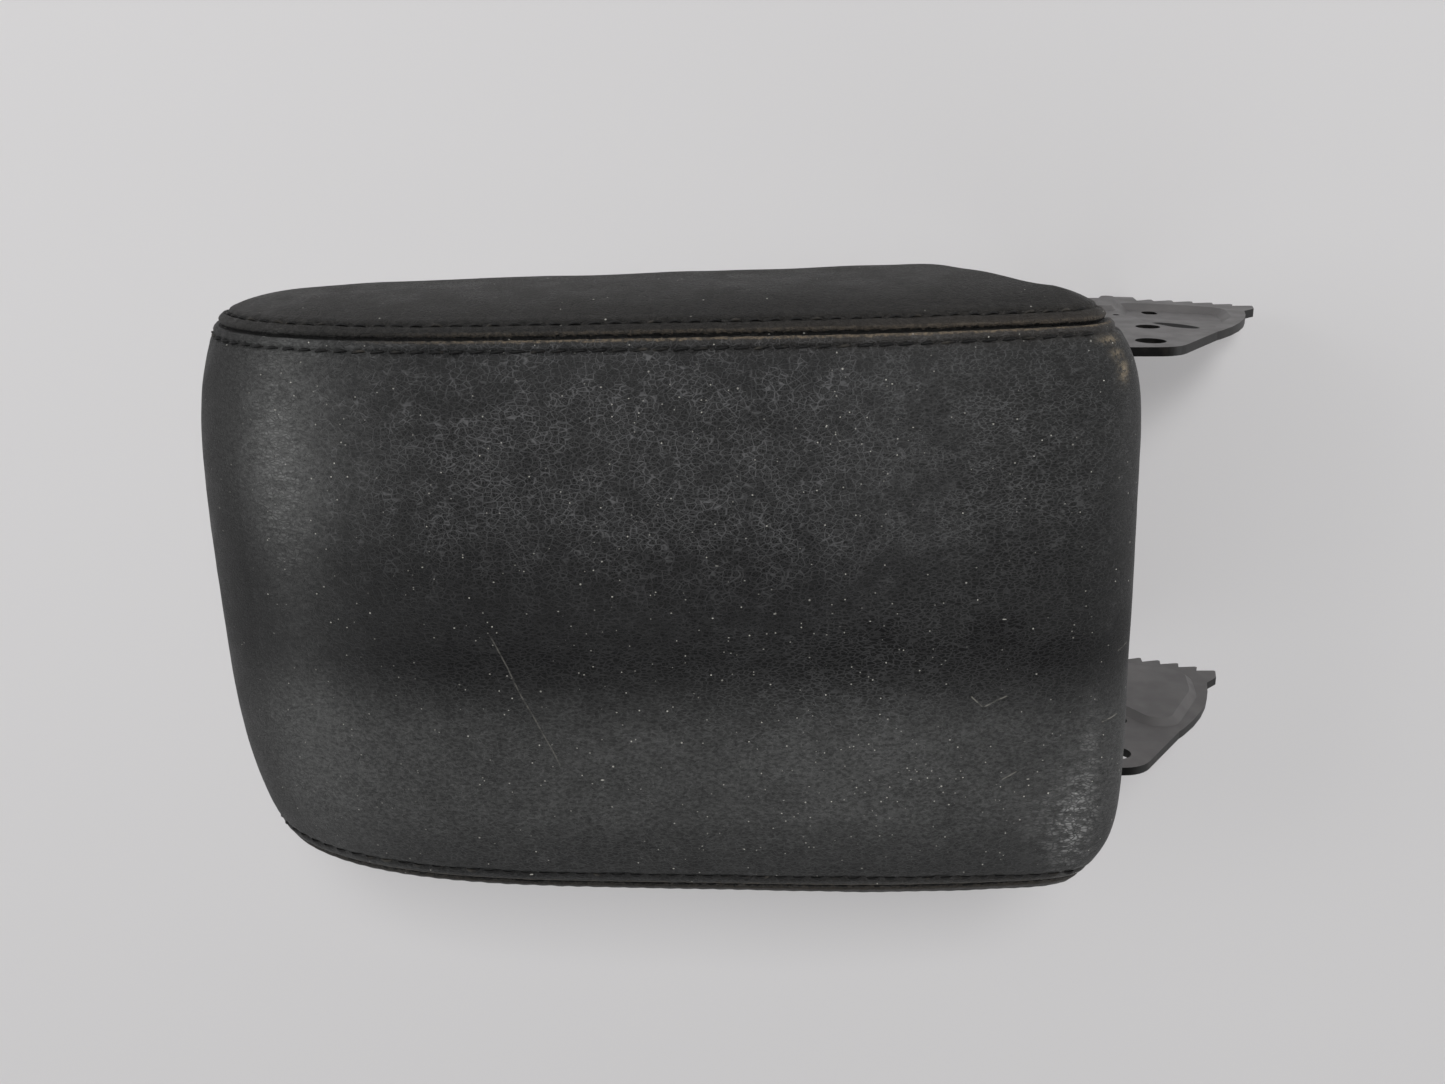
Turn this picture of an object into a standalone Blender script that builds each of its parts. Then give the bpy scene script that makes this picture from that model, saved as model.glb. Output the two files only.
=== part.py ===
"""Center console armrest lid: a padded, sewn lid carried by two toothed hinge plates.

Metres, +Z up. The origin is the middle of the pivot axis, which runs along Y through the two hinge plates.
+X points to the hinge end of the lid and -X to its free end, so the left-hand side of the car is -Y.
"""

import math

import bmesh
import bpy
import numpy as np
from mathutils import Matrix

# Gap between pieces that touch.
SEAT_GAP = 0.0003

# Padded lid, side view. Heights are above the pivot axis.
CROWN_Z = 0.0717
BASE_Z = 0.0137
REAR_BASE_Z = 0.0437
FRONT_X = -0.3143
REAR_X = -0.0124
FRONT_ROLL_X = -0.179
REAR_ROLL_X = -0.114
FRONT_ROLL_POWER = 3.0
REAR_ROLL_POWER = 16.0
REAR_FALL = 0.0085
REAR_FALL_POWER = 1.7

# Hinge clearance: the flat underside ends here and climbs at this slope to the rear ledge.
CLEARANCE_X = -0.074
CLEARANCE_RISE = 1.07

# Padded lid, plan view and cross section.
SEAM_HALF_WIDTH = 0.093
SEAM_TAPER = 0.0185
CROWN_SOFT = 0.001
CROWN_ROLL = 0.0042
CROWN_ROLL_POWER = 10.0
FRONT_BOW = 0.0114
FRONT_BOW_POWER = 4.0
REAR_BOW = 0.0120
REAR_BOW_POWER = 9.0
SIDE_BULGE = 0.0147
SIDE_BULGE_TAPER = 0.0145
SIDE_ROLL_LENGTH = 0.014
SIDE_ROLL_POWER = 0.8
FRONT_SLANT = 0.045
REAR_SLANT = 0.026

# Sewn cover and foam.
COVER_THICKNESS = 0.0010
SEAM_GAP = 0.0016
FOAM_OVER_CARRIER = 0.024
FOAM_AT_FRONT = 0.030

# Moulded carrier under the foam.
CARRIER_WALL = 0.0028
CARRIER_CORNER = 0.030
CARRIER_REAR_X = -0.040
FLANGE_THICKNESS = 0.003
RIB_THICKNESS = 0.002
RIB_DEPTH = 0.009
RIB_X = (-0.240, -0.200, -0.150, -0.105)
RIB_Y = (-0.045, 0.0, 0.045)

# Moulded cover that closes the underside.
UNDER_THICKNESS = 0.0025
UNDER_INSET = 0.003
UNDER_GAP = 0.0005
FIELD_DEPTH = 0.0008
FIELD_MARGIN = 0.020
FIELD_CORNER = 0.012
SLOT_CLEARANCE = 0.0012

# Hinge plates: pressed steel, outer faces this far from the middle.
PLATE_OUTER_Y = 0.0772
PLATE_THICKNESS = 0.0031
BOSS_RADIUS = 0.0125
PIVOT_HOLE_RADIUS = 0.0052
LOCK_HOLE_RADIUS = 0.0043
LOCK_HOLE = (0.0069, -0.0297)
TOOTH_TIP_RADIUS = 0.100
TOOTH_DEPTH = 0.004
TOOTH_COUNT = 6
TOOTH_PITCH_DEG = 4.43
FIRST_TOOTH_DEG = 15.1
TOOTH_BACK_DEG = 0.6
STOP_BLOCK_RADIUS = 0.1055
STOP_BLOCK_DEG = (6.8, 11.2)
SECTOR_EDGE_Z = -0.1015
SECTOR_FRONT_X = -0.014
HOOK = ((0.0587, -0.0725), (0.0533, -0.0670))
REAR_EDGE_TOP = (0.0308, -0.0216)
REAR_EDGE_BULGE = 0.003
REAR_NOTCH = (0.0283, -0.0188)
DOT_HOLE = (0.0024, -0.0572)
DOT_HOLE_RADIUS = 0.0013
WINDOW = (0.0203, -0.0775)
WINDOW_WIDTH = 0.0054
WINDOW_HEIGHT = 0.0076

# Dish pressed towards the middle of the lid, and the rib pressed outwards beside it.
DISH_DEPTH = 0.0024
DISH_WALL = 0.0030
DISH_RADIUS = 0.0885
DISH_DEG = (7.5, 27.0)
# The dish's other corners: share of DISH_RADIUS, degrees from straight down to the rear, and corner radius.
DISH_CORNERS = (
    (0.984, 33.0, 0.008),
    (0.778, 39.7, 0.020),
    (0.412, 49.4, 0.007),
    (0.349, 34.5, 0.007),
    (0.479, 11.6, 0.007),
    (0.595, 9.3, 0.006),
    (0.708, 3.7, 0.003),
)
RIB_ENDS = ((0.0082, -0.0955), (0.0005, -0.0680))
PLATE_RIB_WIDTH = 0.006
PLATE_RIB_HEIGHT = 0.0018

# Arm of each plate, inside the lid, with the flange that the screws pass through.
FLANGE_FRONT_X = -0.183
FLANGE_REAR_X = -0.080
FLANGE_WIDTH = 0.0232
FLANGE_END = 0.002
ARM_FRONT_X = FLANGE_FRONT_X - FLANGE_END
ARM_REAR_X = -0.072
ARM_TOP_Z = 0.0315
ARM_BOTTOM_Z = 0.0155
ARM_LOWER_X = -0.098
NECK_TOP_X = -0.024
PLATE_SCREW_EDGE = 0.0135
PLATE_SCREW_X = np.linspace(FLANGE_FRONT_X + PLATE_SCREW_EDGE, FLANGE_REAR_X - PLATE_SCREW_EDGE, 3)

# Fasteners and buffers.
SCREW_SHANK_RADIUS = 0.0022
SCREW_HEAD_RADIUS = 0.0046
SCREW_HEAD_HEIGHT = 0.0028
SCREW_BITE = 0.009
SCREW_BOSS_WALL = 0.0025
PLATE_TO_CARRIER = 0.0013
COVER_SCREW_PLACES = ((-0.250, 0.045), (-0.180, 0.034), (-0.108, 0.034))
BUFFER_PLACE = (FRONT_X + 0.0203, 0.058)
BUFFER_RADIUS = 0.008
BUFFER_HEIGHT = 0.007
BUFFER_STEM_RADIUS = 0.003
BUFFER_STEM_HEAD = 0.0042
BUFFER_STEM_HEIGHT = 0.0018

# Number of facets along and across the padded form.
FRONT_STEPS = 9
REAR_ROLL_DEG = (8.0, 20.0, 32.0, 46.0, 60.0, 75.0, 90.0)
REAR_FALL_STEPS = (0.0, 0.25, 0.5, 0.68)
ACROSS = (0.0, 0.3, 0.55, 0.72, 0.83, 0.91, 0.96, 1.0)
DOWN_STEPS = 7
HOLE_SIDES = 20


def clear_scene():
    """Remove every object, so the script starts from an empty scene."""
    for item in list(bpy.data.objects):
        bpy.data.objects.remove(item, do_unlink=True)


def make_collection(name):
    """Add a collection to the scene."""
    group = bpy.data.collections.new(name)
    bpy.context.scene.collection.children.link(group)
    return group


def make_material(name, color, roughness, metallic=0.0):
    """A Principled material with one colour, roughness and metallic value."""
    material = bpy.data.materials.new(name)
    material.use_nodes = True
    shader = material.node_tree.nodes["Principled BSDF"]
    shader.inputs["Base Color"].default_value = (*color, 1.0)
    shader.inputs["Roughness"].default_value = roughness
    shader.inputs["Metallic"].default_value = metallic
    material.diffuse_color = (*color, 1.0)
    return material


def add_object(name, mesh, group, material=None):
    """Link a mesh into a collection as an object."""
    item = bpy.data.objects.new(name, mesh)
    group.objects.link(item)
    if material:
        mesh.materials.append(material)
    return item


def add_cutter(name, mesh):
    """Link a mesh as a cutter, which is drawn as wires and left out of the part."""
    cutter = add_object(name, mesh, cutters)
    cutter.display_type = "WIRE"
    cutter.hide_render = True
    return cutter


def combine(target, tool, operation):
    """Add an exact Boolean modifier."""
    step = target.modifiers.new(f"{operation.lower()} {tool.name}", "BOOLEAN")
    step.operation = operation
    step.solver = "EXACT"
    step.object = tool
    return step


def shade(mesh, angle=35.0):
    """Smooth shading with edges kept sharp above an angle in degrees."""
    mesh.shade_smooth()
    mesh.set_sharp_from_angle(angle=math.radians(angle))


def mesh_from(name, points, faces):
    """A mesh from points and faces, with collapsed corners merged and faces turned outwards."""
    mesh = bpy.data.meshes.new(name)
    mesh.from_pydata([tuple(point) for point in points], [], faces)
    shape = bmesh.new()
    shape.from_mesh(mesh)
    bmesh.ops.remove_doubles(shape, verts=shape.verts, dist=1e-6)
    bmesh.ops.recalc_face_normals(shape, faces=shape.faces)
    shape.to_mesh(mesh)
    shape.free()
    return mesh


def arc(center, radius, start_deg, end_deg, steps):
    """Points along an arc, with angles measured from +X towards +Z."""
    angles = np.radians(np.linspace(start_deg, end_deg, steps + 1))
    return [(center[0] + radius * math.cos(a), center[1] + radius * math.sin(a)) for a in angles]


def polar(radius, from_down_deg):
    """A point at a radius from the pivot axis, with its angle measured from straight down to the rear."""
    angle = math.radians(from_down_deg)
    return (radius * math.sin(angle), -radius * math.cos(angle))


def bulged(start, end, bulge, steps):
    """Points of a shallow curve from start to end that bows to the left of its run by bulge."""
    start, end = np.array(start), np.array(end)
    run = end - start
    side = np.array((-run[1], run[0])) / np.hypot(*run)
    fractions = np.linspace(0.0, 1.0, steps + 1)
    return [tuple(start + run * t + side * bulge * 4.0 * t * (1.0 - t)) for t in fractions]


def rounded(corners, steps=5):
    """A closed outline from corners given as (x, z, radius), each with its corner rounded to an arc."""
    outline = []
    count = len(corners)
    for index, (x, z, radius) in enumerate(corners):
        here = np.array((x, z))
        if radius <= 0.0:
            outline.append((x, z))
            continue
        before = np.array(corners[index - 1][:2]) - here
        after = np.array(corners[(index + 1) % count][:2]) - here
        before = before / np.hypot(*before)
        after = after / np.hypot(*after)
        half = math.acos(float(np.clip(before @ after, -1.0, 1.0))) / 2.0
        reach = radius / math.tan(half)
        middle = here + (before + after) / np.hypot(*(before + after)) * radius / math.sin(half)
        first, last = here + before * reach - middle, here + after * reach - middle
        turn = math.atan2(first[0] * last[1] - first[1] * last[0], float(first @ last))
        for step in range(steps + 1):
            angle = turn * step / steps
            cos, sin = math.cos(angle), math.sin(angle)
            spoke = np.array((first[0] * cos - first[1] * sin, first[0] * sin + first[1] * cos))
            outline.append(tuple(middle + spoke))
    return outline


def grown(corners, distance):
    """Corners (x, z, radius) of a closed outline, moved outwards by a distance with radii to match."""
    points = np.array([corner[:2] for corner in corners])
    ahead = np.roll(points, -1, axis=0) - points
    ahead /= np.hypot(ahead[:, 0], ahead[:, 1])[:, None]
    behind = np.roll(ahead, 1, axis=0)
    area = np.sum(points[:, 0] * np.roll(points[:, 1], -1) - np.roll(points[:, 0], -1) * points[:, 1])
    sense = math.copysign(1.0, area)
    mitre = np.column_stack((ahead[:, 1] + behind[:, 1], -ahead[:, 0] - behind[:, 0])) * sense
    mitre /= (1.0 + np.sum(ahead * behind, axis=1))[:, None]
    turn = (behind[:, 0] * ahead[:, 1] - behind[:, 1] * ahead[:, 0]) * sense
    moved = []
    for corner, place, bend in zip(corners, points + mitre * distance, turn):
        radius = corner[2] and max(corner[2] + math.copysign(distance, bend * distance), 0.0003)
        moved.append((place[0], place[1], radius))
    return moved


def side_prism(name, outline, low_y, high_y, low_outline=None):
    """A solid between two outlines in the XZ plane: outline at high_y and low_outline, or the same one, at low_y."""
    low_outline = low_outline or outline
    count = len(outline)
    points = [(x, low_y, z) for x, z in low_outline] + [(x, high_y, z) for x, z in outline]
    faces = [tuple(range(count)), tuple(range(count, 2 * count))]
    faces += [(i, (i + 1) % count, count + (i + 1) % count, count + i) for i in range(count)]
    return mesh_from(name, points, faces)


def plan_prism(name, outline, low_z, high_z):
    """A solid that stands on a closed outline in the XY plane, made from a filled curve."""
    curve = bpy.data.curves.new(name, "CURVE")
    curve.dimensions = "2D"
    curve.fill_mode = "BOTH"
    curve.extrude = (high_z - low_z) / 2.0
    spline = curve.splines.new("POLY")
    spline.points.add(len(outline) - 1)
    for point, (x, y) in zip(spline.points, outline):
        point.co = (x, y, 0.0, 1.0)
    spline.use_cyclic_u = True
    guide = bpy.data.objects.new(name, curve)
    bpy.context.scene.collection.objects.link(guide)
    bpy.context.view_layer.update()
    graph = bpy.context.evaluated_depsgraph_get()
    mesh = bpy.data.meshes.new_from_object(guide.evaluated_get(graph))
    bpy.data.objects.remove(guide, do_unlink=True)
    mesh.transform(Matrix.Translation((0.0, 0.0, (high_z + low_z) / 2.0)))
    shape = bmesh.new()
    shape.from_mesh(mesh)
    bmesh.ops.remove_doubles(shape, verts=shape.verts, dist=1e-6)
    bmesh.ops.recalc_face_normals(shape, faces=shape.faces)
    shape.to_mesh(mesh)
    shape.free()
    return mesh


def rods(name, places, radius, low, high, along="Z", sides=HOLE_SIDES, top_radius=None):
    """Round rods as one mesh, each from low to high along Z at (x, y), or along Y at (x, z)."""
    shape = bmesh.new()
    depth = high - low
    for first, second in places:
        move = Matrix.Translation((first, second, (low + high) / 2.0))
        if along == "Y":
            turn = Matrix.Rotation(math.radians(-90.0), 4, "X")
            move = Matrix.Translation((first, (low + high) / 2.0, second)) @ turn
        bmesh.ops.create_cone(
            shape,
            cap_ends=True,
            segments=sides,
            radius1=radius,
            radius2=top_radius or radius,
            depth=depth,
            matrix=move,
        )
    mesh = bpy.data.meshes.new(name)
    shape.to_mesh(mesh)
    shape.free()
    return mesh


def boxes(name, spans):
    """Boxes as one mesh, each given by its lowest and highest corner."""
    shape = bmesh.new()
    for low, high in spans:
        low, high = np.array(low), np.array(high)
        place = Matrix.Translation((low + high) / 2.0) @ Matrix.Diagonal((*(high - low), 1.0))
        bmesh.ops.create_cube(shape, size=1.0, matrix=place)
    mesh = bpy.data.meshes.new(name)
    shape.to_mesh(mesh)
    shape.free()
    return mesh


def mirrored(places):
    """The same places on both sides of the lid."""
    return [(x, side * y) for x, y in places for side in (-1.0, 1.0)]


def seam_half_width(x):
    """Half the distance between the two seams: it narrows towards the free end."""
    return SEAM_HALF_WIDTH + SEAM_TAPER * x


def base_height(x):
    """Height of the lid's lower edge: flat, then climbing at the hinge clearance to the rear ledge."""
    return np.clip(BASE_Z + (x - CLEARANCE_X) * CLEARANCE_RISE, BASE_Z, REAR_BASE_Z)


def slanted(points):
    """Turn both ends of the lid slightly out of square, more at the free end than at the hinge."""
    share = (points[..., 0] - FRONT_X) / (REAR_X - FRONT_X)
    slant = FRONT_SLANT + (REAR_SLANT - FRONT_SLANT) * share
    moved = points.copy()
    moved[..., 0] -= slant * points[..., 1]
    return moved


def center_grid():
    """Points of the centre panel, from the front lower edge over the top to the rear lower edge.

    The side view is two superellipse quarters with a flat stretch between them. Across the lid the
    surface falls by the crown, which is nearly flat in the middle and rolls over close to the seams.
    """
    across = np.array([-v for v in reversed(ACROSS[1:])] + list(ACROSS))
    crown = CROWN_SOFT * across**2 + CROWN_ROLL * np.abs(across) ** CROWN_ROLL_POWER
    rows = []
    for angle in np.radians(np.linspace(90.0, 0.0, FRONT_STEPS + 1)):
        reach = math.sin(angle) ** (2.0 / FRONT_ROLL_POWER)
        length = FRONT_ROLL_X - FRONT_X - FRONT_BOW * np.abs(across) ** FRONT_BOW_POWER
        fall = (CROWN_Z - BASE_Z - crown) * (1.0 - math.cos(angle))
        rows.append((FRONT_ROLL_X - length * reach, CROWN_Z - crown - fall))
    rolls = [math.sin(math.radians(a)) ** (2.0 / REAR_ROLL_POWER) for a in REAR_ROLL_DEG]
    for reach in list(REAR_FALL_STEPS) + rolls:
        length = REAR_X - REAR_ROLL_X - REAR_BOW * np.abs(across) ** REAR_BOW_POWER
        gentle = REAR_FALL * reach**REAR_FALL_POWER
        wall = CROWN_Z - crown - REAR_FALL - REAR_BASE_Z
        fall = gentle + wall * (1.0 - math.sqrt(max(0.0, 1.0 - reach**REAR_ROLL_POWER)))
        rows.append((REAR_ROLL_X + length * reach, CROWN_Z - crown - fall))
    x = np.array([row[0] for row in rows])
    z = np.array([row[1] for row in rows])
    return np.stack((x, across * seam_half_width(x), z), axis=-1)


def base_line(stations):
    """A point of the lower edge for each station of the seam, with one at each bend of that edge."""
    climb_x = CLEARANCE_X + (REAR_BASE_Z - BASE_Z) / CLEARANCE_RISE
    corners = np.array(
        (
            stations[0],
            (CLEARANCE_X, BASE_Z),
            (climb_x, REAR_BASE_Z),
            stations[-1],
        )
    )
    lengths = np.concatenate(([0.0], np.cumsum(np.hypot(*np.diff(corners, axis=0).T))))
    seam_lengths = np.concatenate(([0.0], np.cumsum(np.hypot(*np.diff(stations, axis=0).T))))
    along = seam_lengths / seam_lengths[-1] * lengths[-1]
    for bend in lengths[1:3]:
        along[np.argmin(np.abs(along - bend))] = bend
    return np.column_stack([np.interp(along, lengths, corners[:, axis]) for axis in (0, 1)])


def side_grid(center, start=0.0):
    """Points of the side panel at +Y, from the seam down to the lower edge.

    In side view each line runs straight from the seam to the lower edge. The panel's reach outwards
    grows with the distance from the seam, fast at first and then hardly at all.
    """
    seam = center[:, -1][:, [0, 2]]
    fine = np.linspace(0.0, len(seam) - 1.0, 12 * len(seam))
    curve = np.column_stack([np.interp(fine, np.arange(len(seam)), seam[:, axis]) for axis in (0, 1)])
    low = base_line(seam)
    down = (np.arange(DOWN_STEPS + 1) / DOWN_STEPS) ** 1.5
    run = low - seam
    run /= np.maximum(np.hypot(run[:, 0], run[:, 1]), 1e-9)[:, None]
    tangent = np.gradient(seam, axis=0)
    tangent /= np.hypot(tangent[:, 0], tangent[:, 1])[:, None]
    clear = np.abs(run[:, 0] * tangent[:, 1] - run[:, 1] * tangent[:, 0])
    begin = seam + run * (start / np.maximum(clear, 0.35))[:, None]
    flat = begin[:, None] + (low - begin)[:, None] * down[None, :, None]
    gaps = flat[:, :, None] - curve[None, None]
    distance = np.sqrt(np.min(np.sum(gaps**2, axis=-1), axis=-1))
    bulge = SIDE_BULGE + SIDE_BULGE_TAPER * flat[..., 0]
    reach = bulge * (1.0 - np.exp(-((distance / SIDE_ROLL_LENGTH) ** SIDE_ROLL_POWER)))
    y = seam_half_width(flat[..., 0]) + reach
    panel = np.stack((flat[..., 0], y, flat[..., 1]), axis=-1)
    return panel[1:-1] if start else panel


def grid_faces(index):
    """The quads of a grid of point numbers."""
    quads = np.stack((index[:-1, :-1], index[1:, :-1], index[1:, 1:], index[:-1, 1:]), axis=-1)
    return [tuple(int(corner) for corner in quad) for quad in quads.reshape(-1, 4)]


def without_repeats(faces):
    """Faces with repeated corners removed, and those that then have fewer than three left out."""
    kept = []
    for face in faces:
        corners = [corner for place, corner in enumerate(face) if corner != face[place - 1]]
        if len(set(corners)) >= 3:
            kept.append(tuple(corners))
    return kept


def pad_form(name, inset=0.0, drop=0.0):
    """The closed form of the padded lid, moved inwards by inset, with its underside lowered by drop."""
    center = center_grid()
    right = side_grid(center)
    left = right * np.array((1.0, -1.0, 1.0))
    rows, columns = center.shape[:2]
    center_index = np.arange(rows * columns).reshape(rows, columns)
    points = [center.reshape(-1, 3)]
    side_index = []
    for grid, seam_column in ((left, 0), (right, columns - 1)):
        first = sum(len(block) for block in points)
        index = first + np.arange(rows * DOWN_STEPS).reshape(rows, DOWN_STEPS)
        index = np.column_stack((center_index[:, seam_column], index))
        index[0] = center_index[0, seam_column]
        index[-1] = center_index[-1, seam_column]
        points.append(grid[:, 1:].reshape(-1, 3))
        side_index.append(index)
    points = slanted(np.concatenate(points))
    faces = grid_faces(center_index) + grid_faces(side_index[0][:, ::-1]) + grid_faces(side_index[1])
    skin = bpy.data.meshes.new(name)
    skin.from_pydata([tuple(point) for point in points], [], without_repeats(faces))
    skin.update()
    normals = np.empty(len(points) * 3)
    skin.vertex_normals.foreach_get("vector", normals)
    normals = normals.reshape(-1, 3)
    left_low, right_low = side_index[0][:, -1], side_index[1][:, -1]
    edge = np.unique(np.concatenate((center_index[0], center_index[-1], left_low, right_low)))
    normals[edge, 2] = 0.0
    normals[edge] /= np.linalg.norm(normals[edge], axis=1)[:, None]
    points = points - normals * inset
    points[edge, 2] -= drop
    bottom = grid_faces(np.column_stack((right_low, left_low)))
    bottom += [tuple(center_index[0]), tuple(center_index[-1][::-1])]
    faces += [tuple(int(corner) for corner in face) for face in bottom]
    return mesh_from(name, points, without_repeats(faces))


def base_strip(low, high):
    """Side-view outline of a strip along the lower edge, from low to high above it."""
    climb_x = CLEARANCE_X + (REAR_BASE_Z - BASE_Z) / CLEARANCE_RISE
    lean = math.tan(math.atan(CLEARANCE_RISE) / 2.0)
    margin = 0.03
    outline = []
    for height, order in ((low, 1), (high, -1)):
        line = [
            (FRONT_X - margin, BASE_Z + height),
            (CLEARANCE_X - height * lean, BASE_Z + height),
            (climb_x - height * lean, REAR_BASE_Z + height),
            (REAR_X + margin, REAR_BASE_Z + height),
        ]
        outline += line[::order]
    return outline


def cover_panels(group, leather):
    """The sewn cover: a centre panel over the front, top and rear, and a panel on each side."""
    center = center_grid()
    rows, columns = center.shape[:2]
    shapes = {
        "cover_center_panel": (slanted(center), 1),
        "cover_side_panel_right": (slanted(side_grid(center, SEAM_GAP)), 1),
    }
    left = side_grid(center, SEAM_GAP) * np.array((1.0, -1.0, 1.0))
    shapes["cover_side_panel_left"] = (slanted(left), -1)
    for name, (grid, order) in shapes.items():
        index = np.arange(grid.shape[0] * grid.shape[1]).reshape(grid.shape[:2])
        mesh = bpy.data.meshes.new(name)
        mesh.from_pydata([tuple(p) for p in grid.reshape(-1, 3)], [], grid_faces(index[:, ::order]))
        shape = bmesh.new()
        shape.from_mesh(mesh)
        bmesh.ops.remove_doubles(shape, verts=shape.verts, dist=1e-6)
        bmesh.ops.dissolve_degenerate(shape, edges=shape.edges, dist=1e-6)
        shape.to_mesh(mesh)
        shape.free()
        shade(mesh, 60.0)
        panel = add_object(name, mesh, group, leather)
        wall = panel.modifiers.new("leather thickness", "SOLIDIFY")
        wall.thickness = COVER_THICKNESS
        wall.offset = -1.0
        wall.use_even_offset = True


def carrier_half_width():
    """Half the outside width of the carrier's box, which holds both plates."""
    return PLATE_OUTER_Y + PLATE_TO_CARRIER + CARRIER_WALL


def carrier_outline(shrink):
    """Plan outline of the carrier's box, made smaller by shrink on every side."""
    half = carrier_half_width() - shrink
    front = FRONT_X + FOAM_AT_FRONT + shrink
    rear = CARRIER_REAR_X - shrink
    corner = CARRIER_CORNER - shrink
    return rounded(
        [
            (front, -half, corner),
            (rear, -half, corner / 3.0),
            (rear, half, corner / 3.0),
            (front, half, corner),
        ]
    )


def carrier_box(name, grow):
    """The carrier's box under the foam, cut off at the lower edge and the hinge clearance."""
    top = CROWN_Z - FOAM_OVER_CARRIER + grow
    box = add_cutter(name, plan_prism(name, carrier_outline(-grow), BASE_Z, top))
    below = side_prism(f"{name} below", base_strip(-0.05, 0.0), -0.2, 0.2)
    combine(box, add_cutter(f"{name} below", below), "DIFFERENCE")
    return box


def foam_pad(group, foam):
    """Moulded foam between the cover and the carrier, standing on the carrier's flange."""
    mesh = pad_form("foam_pad", COVER_THICKNESS + SEAT_GAP)
    shade(mesh, 50.0)
    pad = add_object("foam_pad", mesh, group, foam)
    strip = side_prism("foam seat", base_strip(-0.01, FLANGE_THICKNESS + SEAT_GAP), -0.2, 0.2)
    combine(pad, add_cutter("foam seat", strip), "DIFFERENCE")
    combine(pad, carrier_box("foam pocket", SEAT_GAP), "DIFFERENCE")


def pad_carrier(group, plastic):
    """Moulded carrier: an open box with ribs and screw bosses, and a flange under the foam."""
    mesh = pad_form("pad_carrier", COVER_THICKNESS + SEAT_GAP)
    carrier = add_object("pad_carrier", mesh, group, plastic)
    strip = side_prism("flange strip", base_strip(0.0, FLANGE_THICKNESS), -0.2, 0.2)
    combine(carrier, add_cutter("flange strip", strip), "INTERSECT")
    combine(carrier, carrier_box("carrier outside", 0.0), "UNION")
    top = CROWN_Z - FOAM_OVER_CARRIER - CARRIER_WALL
    inside = [
        (FRONT_X + FOAM_AT_FRONT + CARRIER_WALL, 0.0),
        (FRONT_X + FOAM_AT_FRONT + CARRIER_WALL, top),
        (CARRIER_REAR_X - CARRIER_CORNER / 3.0, top),
        (CARRIER_REAR_X - CARRIER_CORNER / 3.0, 0.0),
    ]
    hollow = add_cutter("carrier inside", plan_prism("carrier inside", carrier_outline(CARRIER_WALL), -0.01, top))
    slab = add_cutter("carrier inside slab", side_prism("carrier inside slab", inside, -0.2, 0.2))
    combine(hollow, slab, "INTERSECT")
    combine(carrier, hollow, "DIFFERENCE")
    half = carrier_half_width() - CARRIER_WALL / 2.0
    front = FRONT_X + FOAM_AT_FRONT + CARRIER_WALL / 2.0
    rib_bottom = top - RIB_DEPTH - 0.001
    rear = CLEARANCE_X + (rib_bottom - BASE_Z) / CLEARANCE_RISE - 0.003
    root = top + CARRIER_WALL / 2.0
    spans = []
    for x in RIB_X:
        spans.append(((x - RIB_THICKNESS / 2, -half, top - RIB_DEPTH), (x + RIB_THICKNESS / 2, half, root)))
    cross = add_cutter("cross ribs", boxes("cross ribs", spans))
    combine(carrier, cross, "UNION")
    spans = []
    for y in RIB_Y:
        spans.append(((front, y - RIB_THICKNESS / 2, rib_bottom), (rear, y + RIB_THICKNESS / 2, root)))
    combine(carrier, add_cutter("long ribs", boxes("long ribs", spans)), "UNION")
    boss = SCREW_SHANK_RADIUS + SCREW_BOSS_WALL
    plate_places = mirrored([(x, plate_screw_y()) for x in PLATE_SCREW_X])
    plate_boss = rods("plate bosses", plate_places, boss, ARM_TOP_Z + SEAT_GAP, root)
    combine(carrier, add_cutter("plate bosses", plate_boss), "UNION")
    cover_places = mirrored(COVER_SCREW_PLACES)
    cover_boss = rods("cover bosses", cover_places, boss, BASE_Z, root, top_radius=boss + 0.001)
    combine(carrier, add_cutter("cover bosses", cover_boss), "UNION")
    bore = SCREW_SHANK_RADIUS + SEAT_GAP
    high = ARM_TOP_Z + SCREW_BITE + SEAT_GAP
    plate_bores = rods("plate bores", plate_places, bore, ARM_TOP_Z - 0.002, high)
    combine(carrier, add_cutter("plate bores", plate_bores), "DIFFERENCE")
    high = BASE_Z + SCREW_BITE + SEAT_GAP
    cover_bores = rods("cover bores", cover_places, bore, BASE_Z - 0.002, high)
    combine(carrier, add_cutter("cover bores", cover_bores), "DIFFERENCE")
    high = BASE_Z - UNDER_GAP + BUFFER_STEM_HEIGHT + SEAT_GAP
    sockets = rods("buffer sockets", mirrored([BUFFER_PLACE]), BUFFER_STEM_HEAD + SEAT_GAP, BASE_Z - 0.002, high)
    combine(carrier, add_cutter("buffer sockets", sockets), "DIFFERENCE")
    shade(mesh)


def plate_screw_y():
    """Distance of the plate screws from the middle: the centre of the plate's flange."""
    return PLATE_OUTER_Y - (PLATE_THICKNESS + FLANGE_WIDTH) / 2.0


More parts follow.
